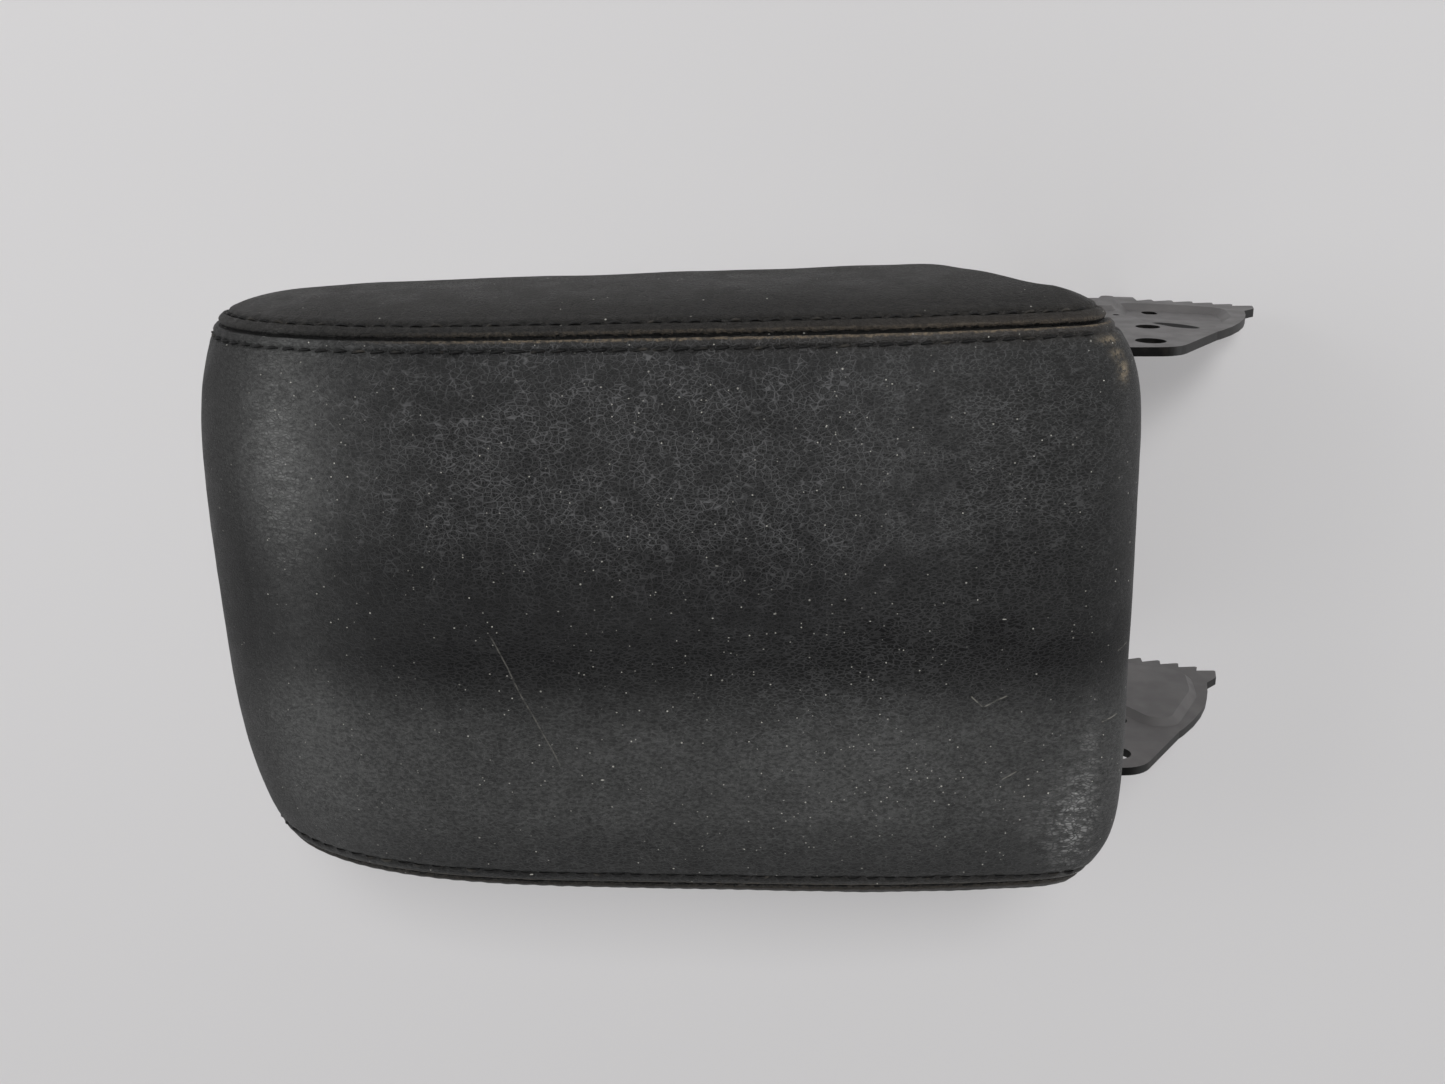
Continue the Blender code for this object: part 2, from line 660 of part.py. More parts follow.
def underside_cover(group, plastic):
    """Moulded cover that closes the underside, with a slot for each plate and a sunk middle field."""
    mesh = pad_form("underside_cover", UNDER_INSET, UNDER_GAP + 2.0 * UNDER_THICKNESS)
    cover = add_object("underside_cover", mesh, group, plastic)
    strip = side_prism("under strip", base_strip(-UNDER_GAP - UNDER_THICKNESS, -UNDER_GAP), -0.2, 0.2)
    combine(cover, add_cutter("under strip", strip), "INTERSECT")
    spans = []
    for side in (-1.0, 1.0):
        inner = side * (PLATE_OUTER_Y - PLATE_THICKNESS - SLOT_CLEARANCE)
        outer = side * (PLATE_OUTER_Y + SLOT_CLEARANCE)
        low, high = min(inner, outer), max(inner, outer)
        spans.append(((ARM_LOWER_X - 0.006, low, 0.0), (ARM_REAR_X + 0.016, high, ARM_TOP_Z + 0.002)))
    combine(cover, add_cutter("plate slots", boxes("plate slots", spans)), "DIFFERENCE")
    radius = SCREW_SHANK_RADIUS + SEAT_GAP
    low = BASE_Z - UNDER_GAP - 2.0 * UNDER_THICKNESS
    places = mirrored(COVER_SCREW_PLACES)
    holes = rods("cover screw holes", places, radius, low, BASE_Z + 0.001)
    combine(cover, add_cutter("cover screw holes", holes), "DIFFERENCE")
    stems = rods("buffer holes", mirrored([BUFFER_PLACE]), BUFFER_STEM_RADIUS + SEAT_GAP, low, BASE_Z + 0.001)
    combine(cover, add_cutter("buffer holes", stems), "DIFFERENCE")
    front = FRONT_X + FOAM_AT_FRONT + FIELD_MARGIN
    rear = CLEARANCE_X - FIELD_MARGIN
    half = PLATE_OUTER_Y - PLATE_THICKNESS - FIELD_MARGIN / 2.0
    field = rounded(
        [
            (front, -half, FIELD_CORNER),
            (rear, -half, FIELD_CORNER),
            (rear, half, FIELD_CORNER),
            (front, half, FIELD_CORNER),
        ]
    )
    bottom = BASE_Z - UNDER_GAP - UNDER_THICKNESS
    sunk = add_cutter("sunk field", plan_prism("sunk field", field, low, bottom + FIELD_DEPTH))
    combine(cover, sunk, "DIFFERENCE")
    shade(mesh)


def tooth_edge():
    """The toothed edge from the last tooth forward to the stop block: each back is steep and each front gentle."""
    root = TOOTH_TIP_RADIUS - TOOTH_DEPTH
    edge = []
    for tooth in reversed(range(TOOTH_COUNT)):
        angle = FIRST_TOOTH_DEG + tooth * TOOTH_PITCH_DEG
        if tooth < TOOTH_COUNT - 1:
            edge.append(polar(root, angle + TOOTH_BACK_DEG))
        edge.append(polar(TOOTH_TIP_RADIUS, angle))
        edge.append(polar(TOOTH_TIP_RADIUS, angle - TOOTH_BACK_DEG))
    edge.append(polar(root, STOP_BLOCK_DEG[1] + TOOTH_BACK_DEG))
    edge.append(polar(STOP_BLOCK_RADIUS, STOP_BLOCK_DEG[1]))
    edge.append(polar(STOP_BLOCK_RADIUS, STOP_BLOCK_DEG[0]))
    edge.append((edge[-1][0], SECTOR_EDGE_Z))
    return edge


def plate_outline():
    """Side-view outline of a hinge plate: arm, neck, pivot boss, rear edge, teeth and sector."""
    slope = math.atan2(-REAR_NOTCH[1], REAR_NOTCH[0])
    to_notch = math.hypot(*REAR_NOTCH)
    tangent = math.degrees(math.acos(BOSS_RADIUS / to_notch) - slope)
    boss = arc((0.0, 0.0), BOSS_RADIUS, 90.0, tangent, 6)
    rear = bulged(REAR_EDGE_TOP, HOOK[1], REAR_EDGE_BULGE, 5)
    edge = boss + [REAR_NOTCH] + rear + [HOOK[0]] + tooth_edge()
    body = [
        (SECTOR_FRONT_X, SECTOR_EDGE_Z, 0.014),
        (ARM_LOWER_X, ARM_BOTTOM_Z, 0.020),
        (ARM_FRONT_X, ARM_BOTTOM_Z, 0.005),
        (ARM_FRONT_X, ARM_TOP_Z, 0.004),
        (ARM_REAR_X, ARM_TOP_Z, 0.012),
        (NECK_TOP_X, BOSS_RADIUS, 0.010),
    ]
    guide = [(*edge[-1], 0.0)] + body + [(*edge[0], 0.0)]
    return edge + rounded(guide, 4)[1:-1]


def dish_corners():
    """Corners of the pressed dish at the plate's outer face: round along the teeth, tapering to the front."""
    first, *edge, last = [polar(DISH_RADIUS, angle) for angle in np.linspace(*DISH_DEG, 6)]
    return [
        (*first, 0.003),
        *[(*point, 0.0) for point in edge],
        (*last, 0.0),
        *[(*polar(DISH_RADIUS * share, angle), radius) for share, angle, radius in DISH_CORNERS],
    ]


def pressing(name, corners, height, wall, outward, side):
    """The raised and the hollow side of a shape pressed into a plate, each a solid with sloping walls."""
    outer, inner = PLATE_OUTER_Y, PLATE_OUTER_Y - PLATE_THICKNESS
    spread = PLATE_THICKNESS * math.tan(math.atan2(height, wall) / 2.0)
    skin = 0.0004
    if outward:
        levels = ((inner - skin, inner + height), (outer - skin, outer + height))
    else:
        levels = ((outer + skin, outer - height), (inner + skin, inner - height))
    hollow_levels, raised_levels = levels
    solids = []
    for kind, (start, end), more in (("hollow", hollow_levels, 0.0), ("raised", raised_levels, spread)):
        wide = rounded(grown(corners, more + skin * wall / height), 4)
        narrow = rounded(grown(corners, more - wall), 4)
        mesh = side_prism(f"{name} {kind}", narrow, side * start, side * end, wide)
        solids.append(add_cutter(f"{name} {kind}", mesh))
    return solids


def hinge_plate(name, side, group, steel):
    """One toothed hinge plate, with its flange, dish, rib and holes. Side is 1 at +Y and -1 at -Y."""
    inner, outer = PLATE_OUTER_Y - PLATE_THICKNESS, PLATE_OUTER_Y
    ends = sorted((side * inner, side * outer))
    mesh = side_prism(name, plate_outline(), *ends)
    plate = add_object(name, mesh, group, steel)
    low = (FLANGE_FRONT_X, min(side * (inner - FLANGE_WIDTH), side * (outer - 0.001)))
    high = (FLANGE_REAR_X, max(side * (inner - FLANGE_WIDTH), side * (outer - 0.001)))
    flange = boxes(f"{name} flange", [((*low, ARM_TOP_Z - PLATE_THICKNESS), (*high, ARM_TOP_Z - 0.00002))])
    combine(plate, add_cutter(f"{name} flange", flange), "UNION")
    hollow, raised = pressing(f"{name} dish", dish_corners(), DISH_DEPTH, DISH_WALL, False, side)
    combine(plate, raised, "UNION")
    combine(plate, hollow, "DIFFERENCE")
    (x0, z0), (x1, z1) = RIB_ENDS
    run = np.array((x1 - x0, z1 - z0))
    across = np.array((-run[1], run[0])) / np.hypot(*run) * PLATE_RIB_WIDTH / 2.0
    corner = PLATE_RIB_WIDTH * 0.49
    rib = [(x0, z0, 1), (x1, z1, 1), (x1, z1, -1), (x0, z0, -1)]
    rib_corners = [(x + across[0] * s, z + across[1] * s, corner) for x, z, s in rib]
    hollow, raised = pressing(f"{name} rib", rib_corners, PLATE_RIB_HEIGHT, PLATE_RIB_HEIGHT, True, side)
    combine(plate, raised, "UNION")
    combine(plate, hollow, "DIFFERENCE")
    far = [side * (inner - 0.01), side * (outer + 0.01)]
    low_y, high_y = min(far), max(far)
    for label, place, radius in (
        ("pivot hole", (0.0, 0.0), PIVOT_HOLE_RADIUS),
        ("lock hole", LOCK_HOLE, LOCK_HOLE_RADIUS),
        ("dot hole", DOT_HOLE, DOT_HOLE_RADIUS),
    ):
        rod = rods(f"{name} {label}", [place], radius, low_y, high_y, along="Y")
        combine(plate, add_cutter(f"{name} {label}", rod), "DIFFERENCE")
    half_width, half_height = WINDOW_WIDTH / 2.0, WINDOW_HEIGHT / 2.0
    corners = [(-1, -1), (1, -1), (1, 1), (-1, 1)]
    window = [(WINDOW[0] + i * half_width, WINDOW[1] + j * half_height, half_width * 0.9) for i, j in corners]
    opening = side_prism(f"{name} window", rounded(window, 4), low_y, high_y)
    combine(plate, add_cutter(f"{name} window", opening), "DIFFERENCE")
    places = [(x, side * plate_screw_y()) for x in PLATE_SCREW_X]
    radius = SCREW_SHANK_RADIUS + SEAT_GAP
    holes = rods(f"{name} screw holes", places, radius, ARM_BOTTOM_Z, ARM_TOP_Z + 0.005)
    combine(plate, add_cutter(f"{name} screw holes", holes), "DIFFERENCE")
    shade(mesh, 30.0)


def turned(name, profile, place, group, material, steps=HOLE_SIDES):
    """A turned piece: a profile of (radius, height) run down its outer side and turned round Z."""
    mesh = bpy.data.meshes.new(name)
    points = [(radius, 0.0, height) for radius, height in profile]
    mesh.from_pydata(points, [(i, i + 1) for i in range(len(points) - 1)], [])
    piece = add_object(name, mesh, group, material)
    piece.location = place
    turn = piece.modifiers.new("turn", "SCREW")
    turn.axis = "Z"
    turn.steps = steps
    turn.render_steps = steps
    turn.use_merge_vertices = True
    turn.merge_threshold = 0.00005
    return piece


def screw(name, place, grip, group, steel):
    """A pan-head screw driven upwards: its head sits under place, and grip is the material it passes first."""
    tip = grip + SCREW_BITE - 0.0005
    head, shank = SCREW_HEAD_RADIUS, SCREW_SHANK_RADIUS
    profile = [
        (0.0, tip),
        (shank * 0.45, tip),
        (shank, tip - 0.002),
        (shank, 0.0),
        (head, 0.0),
        (head, -0.55 * SCREW_HEAD_HEIGHT),
        (head * 0.82, -0.86 * SCREW_HEAD_HEIGHT),
        (head * 0.45, -SCREW_HEAD_HEIGHT),
        (0.0, -SCREW_HEAD_HEIGHT),
    ]
    turned(name, profile, place, group, steel, 14)


def screws(group, steel):
    """The screws that hold the plates to the carrier, and those that hold the underside cover."""
    sides = (("left", -1.0), ("right", 1.0))
    rows = ("front", "middle", "rear")
    seat = ARM_TOP_Z - PLATE_THICKNESS - SEAT_GAP
    under = BASE_Z - UNDER_GAP - UNDER_THICKNESS + FIELD_DEPTH
    for label, side in sides:
        for row, x in zip(rows, PLATE_SCREW_X):
            place = (x, side * plate_screw_y(), seat)
            screw(f"plate_screw_{label}_{row}", place, PLATE_THICKNESS + SEAT_GAP, group, steel)
        for row, (x, y) in zip(rows, COVER_SCREW_PLACES):
            place = (x, side * y, under - SEAT_GAP)
            grip = UNDER_GAP + UNDER_THICKNESS - FIELD_DEPTH
            screw(f"cover_screw_{label}_{row}", place, grip, group, steel)


def buffers(group, rubber):
    """Rubber buffers near the free end, pushed into the underside cover by their stems."""
    seat = BASE_Z - UNDER_GAP - UNDER_THICKNESS
    above = UNDER_THICKNESS + 2.0 * SEAT_GAP
    tip = UNDER_THICKNESS + BUFFER_STEM_HEIGHT
    profile = [
        (0.0, tip),
        (BUFFER_STEM_RADIUS * 0.7, tip),
        (BUFFER_STEM_HEAD, above),
        (BUFFER_STEM_RADIUS, above - 0.00005),
        (BUFFER_STEM_RADIUS, 0.0),
        (BUFFER_RADIUS, 0.0),
        (BUFFER_RADIUS, -0.5 * BUFFER_HEIGHT),
        (BUFFER_RADIUS * 0.9, -0.85 * BUFFER_HEIGHT),
        (BUFFER_RADIUS * 0.7, -BUFFER_HEIGHT),
        (0.0, -BUFFER_HEIGHT),
    ]
    for label, side in (("left", -1.0), ("right", 1.0)):
        place = (BUFFER_PLACE[0], side * BUFFER_PLACE[1], seat - SEAT_GAP)
        turned(f"bump_stop_{label}", profile, place, group, rubber, 20)


def main():
    """Build every piece of the lid."""
    parts = make_collection("center console armrest lid")
    leather = make_material("leather", (0.028, 0.028, 0.028), 0.5)
    foam = make_material("foam", (0.55, 0.52, 0.42), 0.95)
    plastic = make_material("plastic", (0.035, 0.035, 0.037), 0.6)
    steel = make_material("painted steel", (0.055, 0.055, 0.058), 0.38, 0.3)
    zinc = make_material("zinc plate", (0.45, 0.45, 0.43), 0.35, 1.0)
    rubber = make_material("rubber", (0.02, 0.02, 0.02), 0.8)
    cover_panels(parts, leather)
    foam_pad(parts, foam)
    pad_carrier(parts, plastic)
    underside_cover(parts, plastic)
    hinge_plate("hinge_plate_left", -1.0, parts, steel)
    hinge_plate("hinge_plate_right", 1.0, parts, steel)
    screws(parts, zinc)
    buffers(parts, rubber)


clear_scene()
cutters = make_collection("cutters")
main()
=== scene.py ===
"""Looks of the center console armrest lid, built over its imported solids.

Metres, with +Z up out of the padded top and +X to the hinge end. The origin is the middle of the pivot axis.
"""

import logging
import math
from dataclasses import dataclass, field
from enum import Enum
from typing import Optional, Union

import bmesh
import bpy
import numpy as np
from mathutils import Matrix, Vector


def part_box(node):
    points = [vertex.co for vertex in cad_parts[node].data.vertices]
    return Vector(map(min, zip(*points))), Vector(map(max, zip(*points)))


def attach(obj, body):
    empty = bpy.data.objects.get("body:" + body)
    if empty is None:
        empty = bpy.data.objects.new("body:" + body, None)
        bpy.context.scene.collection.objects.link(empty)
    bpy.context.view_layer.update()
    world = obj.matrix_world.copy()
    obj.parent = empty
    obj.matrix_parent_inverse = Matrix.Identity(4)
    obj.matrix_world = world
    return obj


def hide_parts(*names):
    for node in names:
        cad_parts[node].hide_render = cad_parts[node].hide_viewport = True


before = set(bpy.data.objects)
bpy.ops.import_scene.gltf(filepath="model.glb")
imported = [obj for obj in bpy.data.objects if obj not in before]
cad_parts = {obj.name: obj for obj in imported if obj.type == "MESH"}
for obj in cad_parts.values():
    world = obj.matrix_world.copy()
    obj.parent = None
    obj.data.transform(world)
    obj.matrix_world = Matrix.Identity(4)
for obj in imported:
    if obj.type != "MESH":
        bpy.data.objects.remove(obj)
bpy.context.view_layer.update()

log = logging.getLogger("armrest lid")

MM = 0.001

Value = Union[float, tuple, bpy.types.NodeSocket]


class Side(Enum):
    """The two sides of the lid, with the sign of Y there."""

    LEFT = -1
    RIGHT = 1

    @property
    def center_shift(self) -> float:
        """Shift of the centre panel's stitches along the seam, in stitches."""
        return 0.3 if self is Side.LEFT else 0.0

    @property
    def side_shift(self) -> float:
        """Shift of the side panel's stitches along the seam, in stitches."""
        return 0.8 if self is Side.LEFT else 0.55


class Slot(Enum):
    """Material slots of the record, which this script doesn't use."""

    LEATHER = "leather"
    STEEL = "painted_steel"
    ZINC = "zinc_plate"


def unit(vectors: np.ndarray) -> np.ndarray:
    """Vectors of length one along the last axis, leaving near-zero ones as they are."""
    length = np.linalg.norm(vectors, axis=-1, keepdims=True)
    return vectors / np.maximum(length, 1e-12)


def lengths_along(points: np.ndarray, axis: int = 0) -> np.ndarray:
    """Running length of a line or a grid of points along an axis, starting at zero."""
    steps = np.linalg.norm(np.diff(points, axis=axis), axis=-1)
    start = np.zeros_like(np.take(steps, [0], axis=axis))
    return np.concatenate((start, np.cumsum(steps, axis=axis)), axis=axis)


def smooth_step(low: float, high: float, value: np.ndarray) -> np.ndarray:
    """Rises from 0 at low to 1 at high with level ends."""
    share = np.clip((value - low) / (high - low), 0.0, 1.0)
    return share * share * (3.0 - 2.0 * share)


@dataclass(frozen=True)
class Patch:
    """A soft round patch of wear: its strength, and its middle and reach in X and Y, or in X, Y and Z."""

    share: float
    middle: tuple
    reach: tuple

    def over(self, points: np.ndarray) -> np.ndarray:
        """The patch's strength at each point."""
        away = (points[..., : len(self.middle)] - np.array(self.middle)) / np.array(self.reach)
        return self.share * np.exp(-np.sum(away**2, axis=-1))


def patched(points: np.ndarray, patches: tuple) -> np.ndarray:
    """Sum of the patches at each point."""
    return sum(patch.over(points) for patch in patches)


def placed(name: str, data: bpy.types.ID) -> bpy.types.Object:
    """A new object in the scene, at the origin."""
    item = bpy.data.objects.new(name, data)
    bpy.context.scene.collection.objects.link(item)
    return item


class Wander:
    """Smooth random variation over space, the sum of seeded waves that run in all directions."""

    def __init__(self, seed: int, wavelength: float, waves: int = 14) -> None:
        """Draw the waves.

        Args:
            seed: fixes the pattern.
            wavelength: mean wavelength in metres.
            waves: how many waves are added up.
        """
        draw = np.random.default_rng(seed)
        direction = unit(draw.normal(size=(waves, 3)))
        self.wave = direction * (2.0 * math.pi / (wavelength * draw.uniform(0.7, 1.5, (waves, 1))))
        self.phase = draw.uniform(0.0, 2.0 * math.pi, waves)

    def __call__(self, points: np.ndarray) -> np.ndarray:
        """Value at each point, mostly between -1 and 1."""
        total = np.sin(points @ self.wave.T + self.phase).sum(axis=-1)
        return total * math.sqrt(2.0 / len(self.phase)) * 0.6


@dataclass(frozen=True)
class LidForm:
    """Sizes of the padded lid, the same as those of its solids."""

    crown_z: float = 0.0717
    base_z: float = 0.0137
    rear_base_z: float = 0.0437
    front_x: float = -0.3143
    rear_x: float = -0.0124
    front_roll_x: float = -0.179
    rear_roll_x: float = -0.114
    front_power: float = 3.0
    rear_power: float = 16.0
    rear_fall: float = 0.0085
    rear_fall_power: float = 1.7
    clearance_x: float = -0.074
    clearance_rise: float = 1.07
    half_width: float = 0.093
    taper: float = 0.0185
    crown_soft: float = 0.001
    crown_roll: float = 0.0042
    crown_power: float = 10.0
    front_bow: float = 0.0114
    front_bow_power: float = 4.0
    rear_bow: float = 0.0120
    rear_bow_power: float = 9.0
    bulge: float = 0.0147
    bulge_taper: float = 0.0145
    roll_length: float = 0.014
    roll_power: float = 0.8
    edge_softness: int = 7
    front_slant: float = 0.045
    rear_slant: float = 0.026

    def seam_half_width(self, x: np.ndarray) -> np.ndarray:
        """Half the distance between the two seams."""
        return self.half_width + self.taper * x

    def slanted(self, points: np.ndarray) -> np.ndarray:
        """Turn both ends slightly out of square, more at the free end."""
        share = (points[..., 0] - self.front_x) / (self.rear_x - self.front_x)
        slant = self.front_slant + (self.rear_slant - self.front_slant) * share
        moved = points.copy()
        moved[..., 0] -= slant * points[..., 1]
        return moved

    def center(self, rows: np.ndarray, across: np.ndarray) -> np.ndarray:
        """The centre panel's surface.

        Args:
            rows: one line for each row: reach and drop of the front roll, share of the level stretch,
                reach and drop of the rear roll.
            across: position across the lid, -1 at the left seam and 1 at the right one.

        Returns:
            Points of the grid before the ends are slanted.
        """
        front, front_drop, level, rear, rear_drop = (rows[:, [i]] for i in range(5))
        v = np.abs(across)[None, :]
        crown = self.crown_soft * v**2 + self.crown_roll * v**self.crown_power
        front_length = self.front_roll_x - self.front_x - self.front_bow * v**self.front_bow_power
        rear_length = self.rear_x - self.rear_roll_x - self.rear_bow * v**self.rear_bow_power
        span = self.rear_roll_x - self.front_roll_x
        x = self.front_roll_x + span * level - front_length * front + rear_length * rear
        fall = (self.crown_z - self.base_z - crown) * front_drop + self.rear_fall * rear**self.rear_fall_power
        fall = fall + (self.crown_z - crown - self.rear_fall - self.rear_base_z) * rear_drop
        z = self.crown_z - crown - fall
        y = across[None, :] * self.seam_half_width(x)
        return np.stack((x, y, z), axis=-1)

    def rows(self, spacing: float) -> np.ndarray:
        """Rows of the centre panel at an even spacing, measured over its middle line."""
        quarter = np.radians(np.linspace(90.0, 0.0, 500))
        front = np.zeros((500, 5))
        front[:, 0] = np.sin(quarter) ** (2.0 / self.front_power)
        front[:, 1] = 1.0 - np.cos(quarter)
        level = np.zeros((80, 5))
        level[:, 2] = np.linspace(0.0, 1.0, 80)
        turn = np.radians(np.linspace(0.2, 90.0, 700))
        turn_reach = np.sin(turn) ** (2.0 / self.rear_power)
        rear = np.zeros((780, 5))
        rear[:, 2] = 1.0
        rear[:80, 3] = np.linspace(0.0, turn_reach[0], 80, endpoint=False)
        rear[:80, 4] = 1.0 - np.sqrt(1.0 - rear[:80, 3] ** self.rear_power)
        rear[80:, 3] = turn_reach
        rear[80:, 4] = 1.0 - np.cos(turn)
        dense = np.concatenate((front, level[1:], rear[1:]))
        run = lengths_along(self.center(dense, np.array([0.9])))[:, 0]
        wanted = np.linspace(0.0, run[-1], int(run[-1] / spacing) + 1)
        return np.column_stack([np.interp(wanted, run, dense[:, i]) for i in range(5)])

    def base_line(self, stations: np.ndarray) -> np.ndarray:
        """A point of the side panel's softly bent lower edge for each station of the seam, in X and Z."""
        climb_x = self.clearance_x + (self.rear_base_z - self.base_z) / self.clearance_rise
        bends = [(self.clearance_x, self.base_z), (climb_x, self.rear_base_z)]
        corners = np.array([stations[0], *bends, stations[-1]])
        run, seam_run = lengths_along(corners), lengths_along(stations)
        along = seam_run / seam_run[-1] * run[-1]
        line = np.column_stack([np.interp(along, run, corners[:, axis]) for axis in (0, 1)])
        reach = self.edge_softness
        padded = np.concatenate((np.repeat(line[:1], reach, 0), line, np.repeat(line[-1:], reach, 0)))
        window = np.full(2 * reach + 1, 1.0 / (2 * reach + 1))
        soft = np.column_stack([np.convolve(padded[:, axis], window, "valid") for axis in (0, 1)])
        ends = np.minimum(np.arange(len(line)), np.arange(len(line))[::-1])
        share = np.clip((ends - reach) / reach, 0.0, 1.0)[:, None]
        return line * (1.0 - share) + soft * share

    def side(self, seam: np.ndarray, down: np.ndarray) -> np.ndarray:
        """The right side panel's surface.

        Args:
            seam: the seam's points, in X and Z.
            down: share of the way from the seam to the lower edge, one for each column.

        Returns:
            Points of the grid before the ends are slanted.
        """
        low = self.base_line(seam)
        flat = seam[:, None] + (low - seam)[:, None] * down[None, :, None]
        run = lengths_along(seam)
        dense = np.linspace(0.0, run[-1], int(run[-1] / (0.15 * MM)))
        curve = np.column_stack([np.interp(dense, run, seam[:, axis]) for axis in (0, 1)])
        distance = np.empty(flat.shape[:2])
        for column in range(flat.shape[1]):
            gaps = flat[:, column, None] - curve[None]
            distance[:, column] = np.sqrt(np.min(np.sum(gaps**2, axis=-1), axis=-1))
        distance[:, 0] = 0.0
        bulge = self.bulge + self.bulge_taper * flat[..., 0]
        reach = bulge * (1.0 - np.exp(-((distance / self.roll_length) ** self.roll_power)))
        y = self.seam_half_width(flat[..., 0]) + reach
        return np.stack((flat[..., 0], y, flat[..., 1]), axis=-1)


@dataclass(frozen=True)
class SeamSizes:
    """Sizes of the sewn seam and of the leather round it."""

    fold_depth: float = 1.9 * MM
    fold_width: float = 1.25 * MM
    allowance_rise: float = 0.35 * MM
    center_row: float = 4.1 * MM
    side_row: float = 5.0 * MM
    pitch: float = 5.9 * MM
    row_depth: float = 0.60 * MM
    hole_depth: float = 0.55 * MM
    pucker: float = 0.12 * MM


@dataclass
class Track:
    """A line along a seam on the finished leather, which a row of stitches follows."""

    along: np.ndarray
    points: np.ndarray
    normals: np.ndarray

    def read(self, values: np.ndarray, place: np.ndarray) -> np.ndarray:
        """Values between the track's stations, at each distance along the seam."""
        return np.stack([np.interp(place, self.along, values[:, i]) for i in range(3)], axis=-1)

    def at(self, place: np.ndarray) -> tuple[np.ndarray, np.ndarray, np.ndarray]:
        """Point, normal and direction at each distance along the seam."""
        step = 0.6 * MM
        ahead = self.read(self.points, place + step) - self.read(self.points, place - step)
        return self.read(self.points, place), unit(self.read(self.normals, place)), unit(ahead)


@dataclass
class Grids:
    """Point numbers of the panels' grids, their place along the seam and their distance to it."""

    center: np.ndarray
    side: dict
    along: np.ndarray
    center_distance: np.ndarray
    side_distance: np.ndarray


